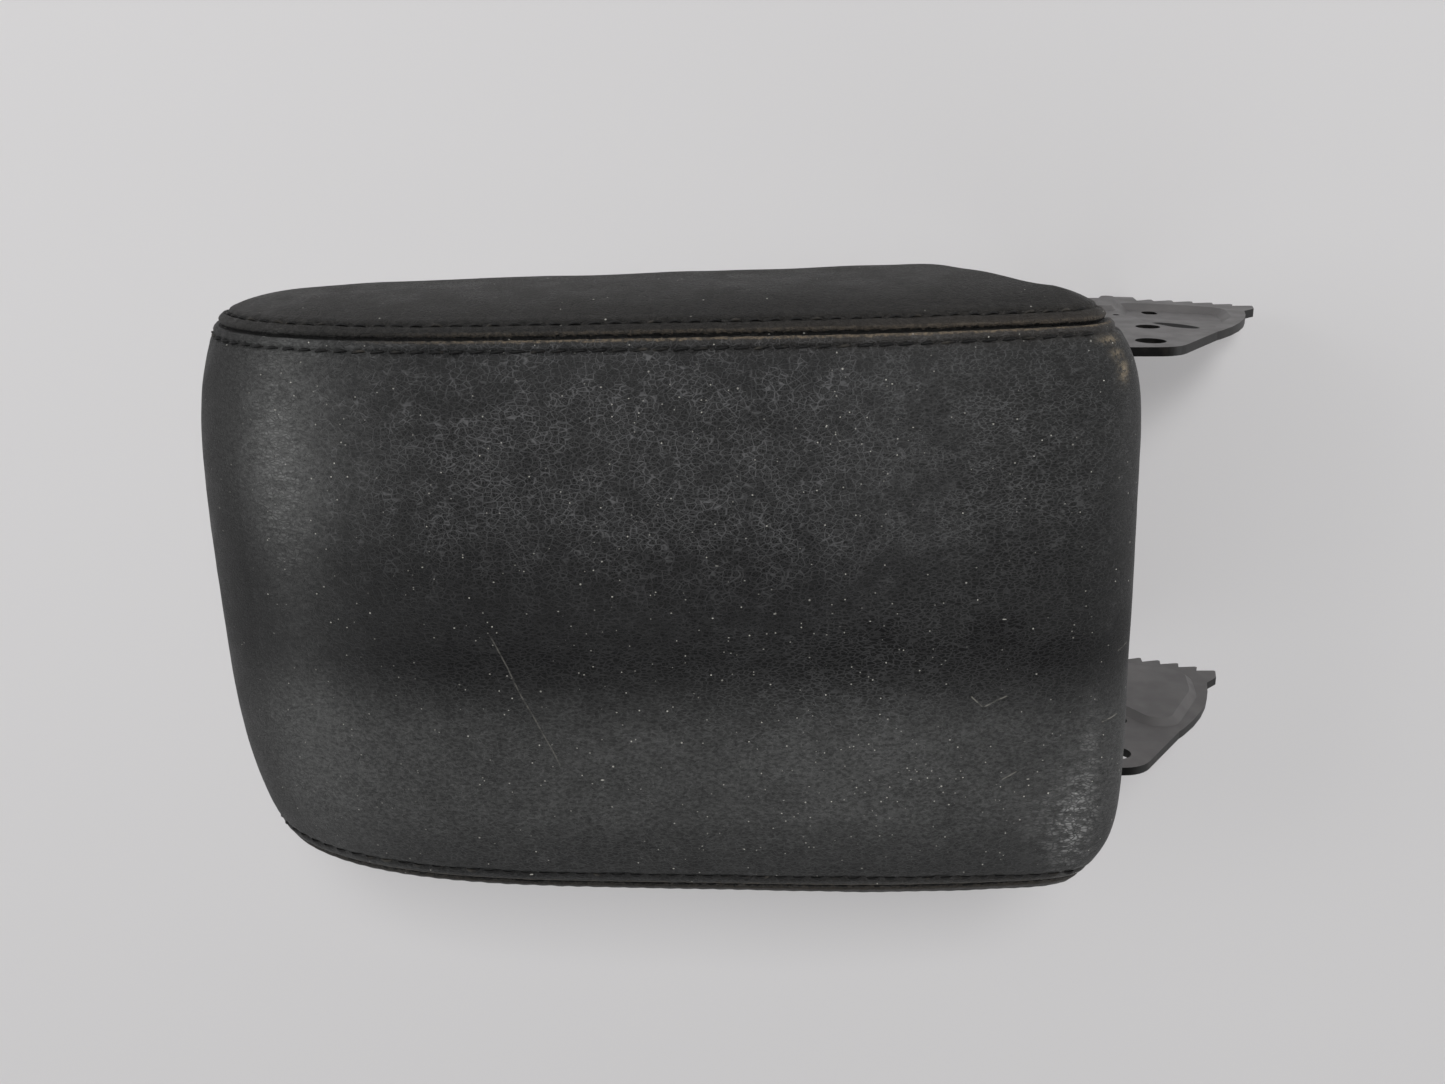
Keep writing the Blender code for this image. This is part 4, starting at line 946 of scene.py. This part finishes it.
    def rub_and_sheen_tops(self, n: Nodes, long_cells: Value) -> Value:
        """Where the tops of the grain are pale, from 0 to 1: rubbed wear at the lower right, and a painted
        sheen on the free end.
        """
        tops = n.times(n.mask("rub_and_sheen"), n.ramp(long_cells, 0.04, 0.20, 0.15, 1.0), clamp=True)
        flaked = n.noise(1.0, 3.0, 0.65, n.stretched((210.0, 520.0, 300.0)))
        return n.times(tops, n.ramp(flaked, 0.40, 0.60, 0.12, 1.0))

    def soiled(self, n: Nodes, color: Value) -> tuple[Value, Value]:
        """The colour with painted shade as a black line down each seam's fold, and ragged tan dirt, and the
        dirt from 0 to 1.
        """
        torn = n.math("SUBTRACT", n.noise(560.0, 3.0, 0.65), 0.5)
        apart = n.math("ADD", n.times(n.mask("apart"), self.apart_reach / MM), n.times(torn, 1.6))
        fringe = n.times(n.ramp(apart, 0.50, 0.75), n.ramp(apart, 2.0, 1.3))
        fringe = n.times(fringe, n.ramp(n.noise(900.0, 2.0, 0.6), 0.40, 0.60, 0.25, 1.0))
        soil = n.times(n.mask("dirt"), fringe, clamp=True)
        color = n.mix(n.times(soil, self.soil_share), color, self.soil)
        # Painted shade: black down the bottom of each seam's fold.
        color = n.mix(n.ramp(apart, 0.80, 0.50), color, self.seam_shade)
        tan = n.times(n.mask("tan"), n.ramp(n.noise(620.0, 3.0, 0.6), 0.34, 0.56), clamp=True)
        return n.mix(n.times(tan, self.tan_share), color, self.tan), soil

    def marked(self, n: Nodes, color: Value) -> Value:
        """The colour with its scratches and dust specks."""
        for scratch in self.scratches:
            line = n.segment(scratch.first, scratch.last, scratch.width)
            mark = n.times(line, n.ramp(n.noise(420.0, 2.0), 0.35, 0.6, 0.3, 1.0))
            color = n.mix(n.times(mark, scratch.share), color, self.scratched)
        for specks in self.specks:
            place = n.stretched(specks.stretch, specks.turn) if specks.stretch else None
            drawn = n.add("ShaderNodeSeparateColor", {0: n.cells(specks.scale, "F1", place, "Color")})
            draw = n.math("ADD", drawn.outputs[0], n.times(n.mask("dust"), self.dust_pull))
            seldom = n.math("GREATER_THAN", draw, specks.chance)
            dot = n.ramp(n.cells(specks.scale, "F1", place), specks.size, specks.size * 0.5)
            dot = n.times(n.times(dot, seldom), n.ramp(drawn.outputs[1], 0.0, 1.0, 0.35, 1.0))
            color = n.mix(dot, color, self.speck)
        return color

    def material(self) -> bpy.types.Material:
        """The leather's material."""
        n = Nodes("worn leatherette")
        pattern, long_cells = self.grain(n)
        blotch = n.noise(75.0, 4.0, 0.65)
        color = self.ground(n, blotch)
        broken = n.ramp(n.noise(150.0, 2.0, 0.5), 0.34, 0.62, 0.45, 1.0)
        lines = n.times(pattern, n.times(n.mask("crackle"), broken), clamp=True)
        color = n.mix(n.times(lines, self.vein_share), color, self.vein)
        rub_and_sheen_share = self.rub_and_sheen_tops(n, long_cells)
        # Pale grain tops: rubbed wear, and a painted sheen on the free end.
        color = n.mix(rub_and_sheen_share, color, self.rub_and_sheen)
        color = n.mix(n.times(n.mask("grime"), self.grime_share), color, self.grime)
        color, soil = self.soiled(n, color)
        color = self.marked(n, color)
        rough = n.ramp(blotch, 0.3, 0.7, 0.46, 0.58)
        rough = n.math("ADD", rough, n.times(soil, 0.35), clamp=True)
        rough = n.math("SUBTRACT", rough, n.times(rub_and_sheen_share, 0.10), clamp=True)
        folds = n.noise(1.0, 3.0, 0.6, n.stretched((170.0, 460.0, 460.0), 8.0))
        height = n.bump(n.math("SUBTRACT", 1.0, pattern), 0.24 * MM, 1.0)
        height = n.bump(folds, 0.25 * MM, 0.5, height)
        height = n.bump(blotch, 0.5 * MM, 0.25, height)
        return n.surface(
            color, rough, height, specular_ior_level=0.17, sheen_weight=0.01, sheen_roughness=0.5
        )


@dataclass(frozen=True)
class ThreadFinish:
    """Black sewing thread, greyed by dust."""

    dark: tuple = (0.0022, 0.0021, 0.0021, 1.0)
    dusty: tuple = (0.036, 0.032, 0.026, 1.0)

    def material(self) -> bpy.types.Material:
        """The thread's material."""
        n = Nodes("sewing thread")
        twist = n.noise(1.0, 2.0, 0.5, n.stretched((2400.0, 1100.0, 1100.0), 30.0))
        color = n.mix(n.ramp(n.noise(160.0, 3.0), 0.50, 0.74), self.dark, self.dusty)
        return n.surface(color, 0.55, n.bump(twist, 0.15 * MM, 0.8), specular_ior_level=0.22)


@dataclass(frozen=True)
class SteelFinish:
    """Satin black paint on pressed steel, a little dusty and rubbed, with a dark mark on the right plate and
    painted shade on the sheared edges.
    """

    paint: tuple = (0.084, 0.0800, 0.0795, 1.0)
    rubbed: tuple = (0.125, 0.118, 0.115, 1.0)
    dust: tuple = (0.35, 0.34, 0.31, 1.0)
    # A long narrow dark mark on the right plate's outer face.
    dark_mark: tuple = (0.0010, 0.0010, 0.0010, 1.0)
    dark_mark_place: tuple = (0.0220, -0.0472)
    dark_mark_size: tuple = (0.0096, 0.0040)
    dark_mark_turn: float = 44.0
    dark_mark_from_y: float = 0.0735
    # Painted shade: the sheared edges get a nearly black copy of the paint.
    edge: tuple = (0.0025, 0.0024, 0.0024, 1.0)
    dusty_edge: tuple = (0.016, 0.0135, 0.0115, 1.0)

    def dark_marked(self, n: Nodes) -> Value:
        """1 inside the long narrow dark mark, which lies in X and Z on the right plate's outer face."""
        apart = n.add("ShaderNodeSeparateXYZ", {0: n.place})
        across = n.math("SUBTRACT", apart.outputs["X"], self.dark_mark_place[0])
        up = n.math("SUBTRACT", apart.outputs["Z"], self.dark_mark_place[1])
        cosine, sine = math.cos(math.radians(self.dark_mark_turn)), math.sin(math.radians(self.dark_mark_turn))
        along = n.math("ADD", n.times(across, cosine), n.times(up, sine))
        aside = n.math("SUBTRACT", n.times(up, cosine), n.times(across, sine))
        along = n.math("POWER", n.math("DIVIDE", along, self.dark_mark_size[0]), 2.0)
        aside = n.math("POWER", n.math("DIVIDE", aside, self.dark_mark_size[1]), 2.0)
        outer = n.math("GREATER_THAN", apart.outputs["Y"], self.dark_mark_from_y)
        return n.times(n.ramp(n.math("ADD", along, aside), 1.0, 0.80), outer)

    def material(self) -> bpy.types.Material:
        """The plates' material."""
        n = Nodes("painted steel")
        cloud = n.noise(55.0, 4.0, 0.6)
        color = n.mix(n.ramp(cloud, 0.45, 0.75, 0.0, 0.6), self.paint, self.rubbed)
        speck = n.cells(700.0, "F1")
        chosen = n.math("GREATER_THAN", n.cells(700.0, "F1", None, "Color"), 0.93)
        color = n.mix(n.times(n.ramp(speck, 0.12, 0.05), chosen), color, self.dust)
        # The long narrow dark mark on the right plate's outer face, matt.
        dark_mark = self.dark_marked(n)
        color = n.mix(dark_mark, color, self.dark_mark)
        rough = n.blend(dark_mark, n.ramp(n.noise(120.0, 3.0), 0.3, 0.7, 0.42, 0.54), 1.0)
        return n.surface(color, rough, n.bump(n.noise(900.0, 2.0), 0.05 * MM, 0.3), specular_ior_level=0.36)

    def shaded_edge_material(self) -> bpy.types.Material:
        """The plates' sheared edges: painted shade, the paint made nearly black, with a little dust."""
        n = Nodes("painted edge")
        color = n.mix(n.ramp(n.noise(300.0, 3.0), 0.45, 0.75, 0.0, 0.5), self.edge, self.dusty_edge)
        return n.surface(color, 0.45, n.bump(n.noise(700.0, 2.0), 0.08 * MM, 0.4), specular_ior_level=0.16)


@dataclass(frozen=True)
class MouldedFinish:
    """Moulded plastic or rubber with a fine matt texture."""

    name: str
    color: tuple
    roughness: float
    texture: float = 1400.0

    def material(self) -> bpy.types.Material:
        """The piece's material."""
        n = Nodes(self.name)
        light = tuple(min(1.0, c * 2.2) for c in self.color[:3]) + (1.0,)
        color = n.mix(n.ramp(n.noise(60.0, 4.0, 0.6), 0.4, 0.75, 0.0, 0.5), self.color, light)
        return n.surface(color, self.roughness, n.bump(n.noise(self.texture, 2.0), 0.08 * MM, 0.5))


@dataclass(frozen=True)
class ZincFinish:
    """Dull zinc plating."""

    dull: tuple = (0.30, 0.30, 0.29, 1.0)
    bright: tuple = (0.50, 0.49, 0.45, 1.0)

    def material(self) -> bpy.types.Material:
        """The screws' material."""
        n = Nodes("zinc plate")
        color = n.mix(n.ramp(n.noise(420.0, 3.0), 0.35, 0.7), self.dull, self.bright)
        return n.surface(color, n.ramp(n.noise(600.0, 2.0), 0.3, 0.7, 0.28, 0.5), metallic=1.0)


@dataclass(frozen=True)
class HingePlates:
    """The two pressed plates, as their solids with the sheared edges broken."""

    edge_break: float = 0.25 * MM
    press_radius: float = 1.0 * MM
    press_deg: float = 20.0
    sheared_deg: float = 62.0
    flat_deg: float = 1.5
    sharp_deg: float = 50.0
    weld: float = 1e-6
    dish_top_z: float = -0.018
    dish_front_x: float = -0.02
    edge_tilt: float = 0.35
    edge_from_y: float = 0.072

    def broken(self, edge: bmesh.types.BMEdge, reach: float) -> bool:
        """Whether an edge is broken: sheared ones all are, bends only where the dish is pressed."""
        middle = (edge.verts[0].co + edge.verts[1].co) / 2.0
        return reach == self.edge_break or (middle.z < self.dish_top_z and middle.x > self.dish_front_x)

    def build(self, side: Side, material: bpy.types.Material, edge: bpy.types.Material) -> bpy.types.Object:
        """One plate with its edges broken.

        Args:
            side: which plate.
            material: finish of its faces.
            edge: finish of its sheared edges, which is painted shade.
        """
        node = f"hinge_plate_{side.name.lower()}"
        shape = bmesh.new()
        shape.from_mesh(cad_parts[node].data)
        bmesh.ops.remove_doubles(shape, verts=shape.verts, dist=self.weld)
        flat = math.radians(self.flat_deg)
        bmesh.ops.dissolve_limit(shape, angle_limit=flat, verts=shape.verts, edges=shape.edges)
        for low, high, reach, steps in (
            (self.sheared_deg, 180.0, self.edge_break, 2),
            (self.press_deg, self.sheared_deg, self.press_radius, 4),
        ):
            edges = [e for e in shape.edges if len(e.link_faces) == 2]
            edges = [e for e in edges if low < math.degrees(e.calc_face_angle()) <= high]
            edges = [e for e in edges if self.broken(e, reach)]
            bmesh.ops.bevel(
                shape,
                geom=edges,
                offset=reach,
                segments=steps,
                profile=0.5,
                affect="EDGES",
                clamp_overlap=True,
            )
        bmesh.ops.triangulate(shape, faces=[face for face in shape.faces if len(face.verts) > 4])
        mesh = bpy.data.meshes.new(f"pressed_{node}")
        shape.to_mesh(mesh)
        shape.free()
        mesh.shade_smooth()
        mesh.set_sharp_from_angle(angle=math.radians(self.sharp_deg))
        mesh.materials.clear()
        for finish in (material, edge):
            mesh.materials.append(finish)
        # Faces across the plate's thickness take the painted-shade edge finish.
        for face in mesh.polygons:
            sheared = abs(face.normal.y) < self.edge_tilt and abs(face.center.y) > self.edge_from_y
            face.material_index = int(sheared)
        plate = placed(f"pressed_{node}", mesh)
        plate.modifiers.new("even shading", "WEIGHTED_NORMAL").keep_sharp = True
        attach(plate, "root")
        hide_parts(node)
        log.info("%s: %d faces", plate.name, len(mesh.polygons))
        return plate


@dataclass(frozen=True)
class Underside:
    """The moulded cover, its screws with their cross recesses, and the rubber buffers."""

    recess_width: float = 1.3 * MM
    recess_length: float = 5.0 * MM
    recess_depth: float = 1.5 * MM
    sharp_deg: float = 30.0

    def dress(self, node: str, material: bpy.types.Material) -> None:
        """Give a solid its finish."""
        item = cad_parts[node]
        item.data.materials.clear()
        item.data.materials.append(material)

    def screw(self, node: str, material: bpy.types.Material) -> bpy.types.Object:
        """A screw whose head has a cross recess."""
        low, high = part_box(node)
        middle = (low + high) / 2.0
        cutter_shape = bmesh.new()
        for size in ((self.recess_length, self.recess_width), (self.recess_width, self.recess_length)):
            place = Matrix.Translation((middle.x, middle.y, low.z))
            scale = Matrix.Diagonal((size[0], size[1], 2.0 * self.recess_depth, 1.0))
            bmesh.ops.create_cube(cutter_shape, size=1.0, matrix=place @ scale)
        cutter_mesh = bpy.data.meshes.new("recess")
        cutter_shape.to_mesh(cutter_mesh)
        cutter_shape.free()
        cutter = placed("recess", cutter_mesh)
        piece = placed(f"driven_{node}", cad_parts[node].data.copy())
        cut = piece.modifiers.new("recess", "BOOLEAN")
        cut.operation = "DIFFERENCE"
        cut.solver = "EXACT"
        cut.use_self = True
        cut.object = cutter
        bpy.context.view_layer.update()
        graph = bpy.context.evaluated_depsgraph_get()
        mesh = bpy.data.meshes.new_from_object(piece.evaluated_get(graph))
        piece.modifiers.clear()
        piece.data = mesh
        bpy.data.objects.remove(cutter, do_unlink=True)
        mesh.materials.clear()
        mesh.materials.append(material)
        mesh.shade_smooth()
        mesh.set_sharp_from_angle(angle=math.radians(self.sharp_deg))
        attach(piece, "root")
        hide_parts(node)
        return piece

    def build(self) -> None:
        """Dress the hard pieces of the underside."""
        plastic = MouldedFinish("moulded plastic", (0.018, 0.018, 0.019, 1.0), 0.55).material()
        rubber = MouldedFinish("buffer rubber", (0.012, 0.012, 0.012, 1.0), 0.8, 2500.0).material()
        zinc = ZincFinish().material()
        for node in ("pad_carrier", "underside_cover"):
            self.dress(node, plastic)
        for side in Side:
            self.dress(f"bump_stop_{side.name.lower()}", rubber)
            for row in ("front", "middle", "rear"):
                self.screw(f"cover_screw_{side.name.lower()}_{row}", zinc)
                self.dress(f"plate_screw_{side.name.lower()}_{row}", zinc)
        log.info("underside dressed")


@dataclass(frozen=True)
class Studio:
    """Pale floor, soft light and a camera at the photograph's viewing angle."""

    camera_place: tuple = (-0.1439, 0.1640, 0.5113)
    look: tuple = (0.0, -0.2945, -0.9556)
    lens: float = 38.12
    floor_z: float = -0.1052
    floor_reach: float = 3.0
    floor_paleness: float = 0.30
    floor_color: tuple = (0.63, 0.622, 0.625, 1.0)
    floor_glow: tuple = (0.66, 0.645, 0.65, 1.0)
    sky_color: tuple = (0.985, 0.99, 1.0, 1.0)
    backdrop_color: tuple = (0.68, 0.675, 0.68, 1.0)
    horizon: float = 1.35
    zenith: float = 0.09

    def floor(self) -> None:
        """A wide pale floor under the part, which isn't seen from below."""
        mesh = bpy.data.meshes.new("floor")
        reach = self.floor_reach
        corners = [(-reach, -reach, 0), (reach, -reach, 0), (reach, reach, 0), (-reach, reach, 0)]
        mesh.from_pydata(corners, [], [(0, 1, 2, 3)])
        plane = placed("floor", mesh)
        plane.location.z = self.floor_z
        n = Nodes("pale floor")
        n.surface(self.floor_color, 0.7, specular_ior_level=0.2)
        glow = n.add("ShaderNodeEmission", {"Color": self.floor_glow}).outputs[0]
        ray = n.add("ShaderNodeLightPath").outputs
        seen = n.math("MAXIMUM", ray["Is Camera Ray"], ray["Is Glossy Ray"])
        inputs = {0: n.times(seen, self.floor_paleness), 1: n.shader.outputs[0], 2: glow}
        top = n.add("ShaderNodeMixShader", inputs).outputs[0]
        behind = n.add("ShaderNodeNewGeometry").outputs["Backfacing"]
        clear = n.add("ShaderNodeBsdfTransparent").outputs[0]
        inputs = {0: n.times(behind, ray["Is Camera Ray"]), 1: top, 2: clear}
        open_side = n.add("ShaderNodeMixShader", inputs).outputs[0]
        n.link(open_side, n.tree.nodes["Material Output"].inputs[0])
        mesh.materials.append(n.material)

    def world(self) -> None:
        """Soft surrounding light, dim from above and a little brighter from the left side of the lid."""
        world = bpy.data.worlds.new("studio")
        bpy.context.scene.world = world
        world.use_nodes = True
        sky = Tree(world.node_tree)
        soft = sky.tree.nodes["Background"]
        place = sky.add("ShaderNodeTexCoord").outputs["Generated"]
        apart = sky.add("ShaderNodeSeparateXYZ", {0: place}).outputs
        level = sky.ramp(apart["Z"], 0.20, 0.85, self.horizon, self.zenith)
        inputs = {"Value": apart["Y"], "From Min": -1.0, "From Max": 1.0, "To Min": 1.15, "To Max": 0.85}
        toward = sky.add("ShaderNodeMapRange", inputs).outputs["Result"]
        sky.link(sky.times(level, toward), soft.inputs["Strength"])
        sky.link(self.sky_color, soft.inputs["Color"])
        backdrop = sky.add("ShaderNodeBackground", {"Color": self.backdrop_color}).outputs[0]
        seen = sky.add("ShaderNodeLightPath").outputs["Is Camera Ray"]
        both = sky.add("ShaderNodeMixShader", {0: seen, 1: soft.outputs[0], 2: backdrop}).outputs[0]
        sky.link(both, sky.tree.nodes["World Output"].inputs[0])

    def light(self, name: str, place: tuple, aim: tuple, size: float, power: float) -> None:
        """A soft square light.

        Args:
            name: its name.
            place: where it stands.
            aim: what it points at.
            size: length of its side.
            power: in watts.
        """
        data = bpy.data.lights.new(name, "AREA")
        data.size = size
        data.energy = power
        lamp = placed(name, data)
        lamp.location = place
        direction = Vector(aim) - Vector(place)
        lamp.rotation_euler = direction.to_track_quat("-Z", "Y").to_euler()

    def camera(self) -> None:
        """The camera, with the picture's upward direction along +Y of the lid."""
        data = bpy.data.cameras.new("camera")
        data.lens = self.lens
        data.sensor_width = 36.0
        camera = placed("camera", data)
        forward = Vector(self.look)
        right = Vector((1.0, 0.0, 0.0))
        up = right.cross(forward)
        turn = Matrix((right, up, -forward)).transposed()
        camera.matrix_world = Matrix.Translation(self.camera_place) @ turn.to_4x4()
        bpy.context.scene.camera = camera

    def build(self) -> None:
        """Set up the studio."""
        self.floor()
        self.world()
        self.light("ceiling light", (-0.10, 0.80, 1.40), (-0.15, 0.0, 0.0), 0.32, 12.5)
        self.light("left window", (-1.1, 0.35, 0.95), (-0.25, 0.0, 0.0), 0.5, 4.0)
        self.light("right window", (1.3, 0.05, 0.22), (0.0, 0.0, 0.0), 0.5, 3.5)
        self.camera()
        bpy.context.scene.view_settings.view_transform = "Standard"


def plain(bounds: tuple) -> list:
    """Bounds as plain lists of numbers."""
    return [[float(value) for value in corner] for corner in bounds]


def main() -> None:
    """Build every visible piece, then the studio."""
    logging.basicConfig(level=logging.INFO, format="%(name)s: %(message)s")
    cover = LeatherCover()
    _, tracks = cover.build(LeatherFinish())
    Stitching().build(tracks, cover.seam.pitch, ThreadFinish().material())
    steel, edge = SteelFinish().material(), SteelFinish().shaded_edge_material()
    for side in Side:
        HingePlates().build(side, steel, edge)
    Underside().build()
    Studio().build()


if __name__ == "__main__":
    main()
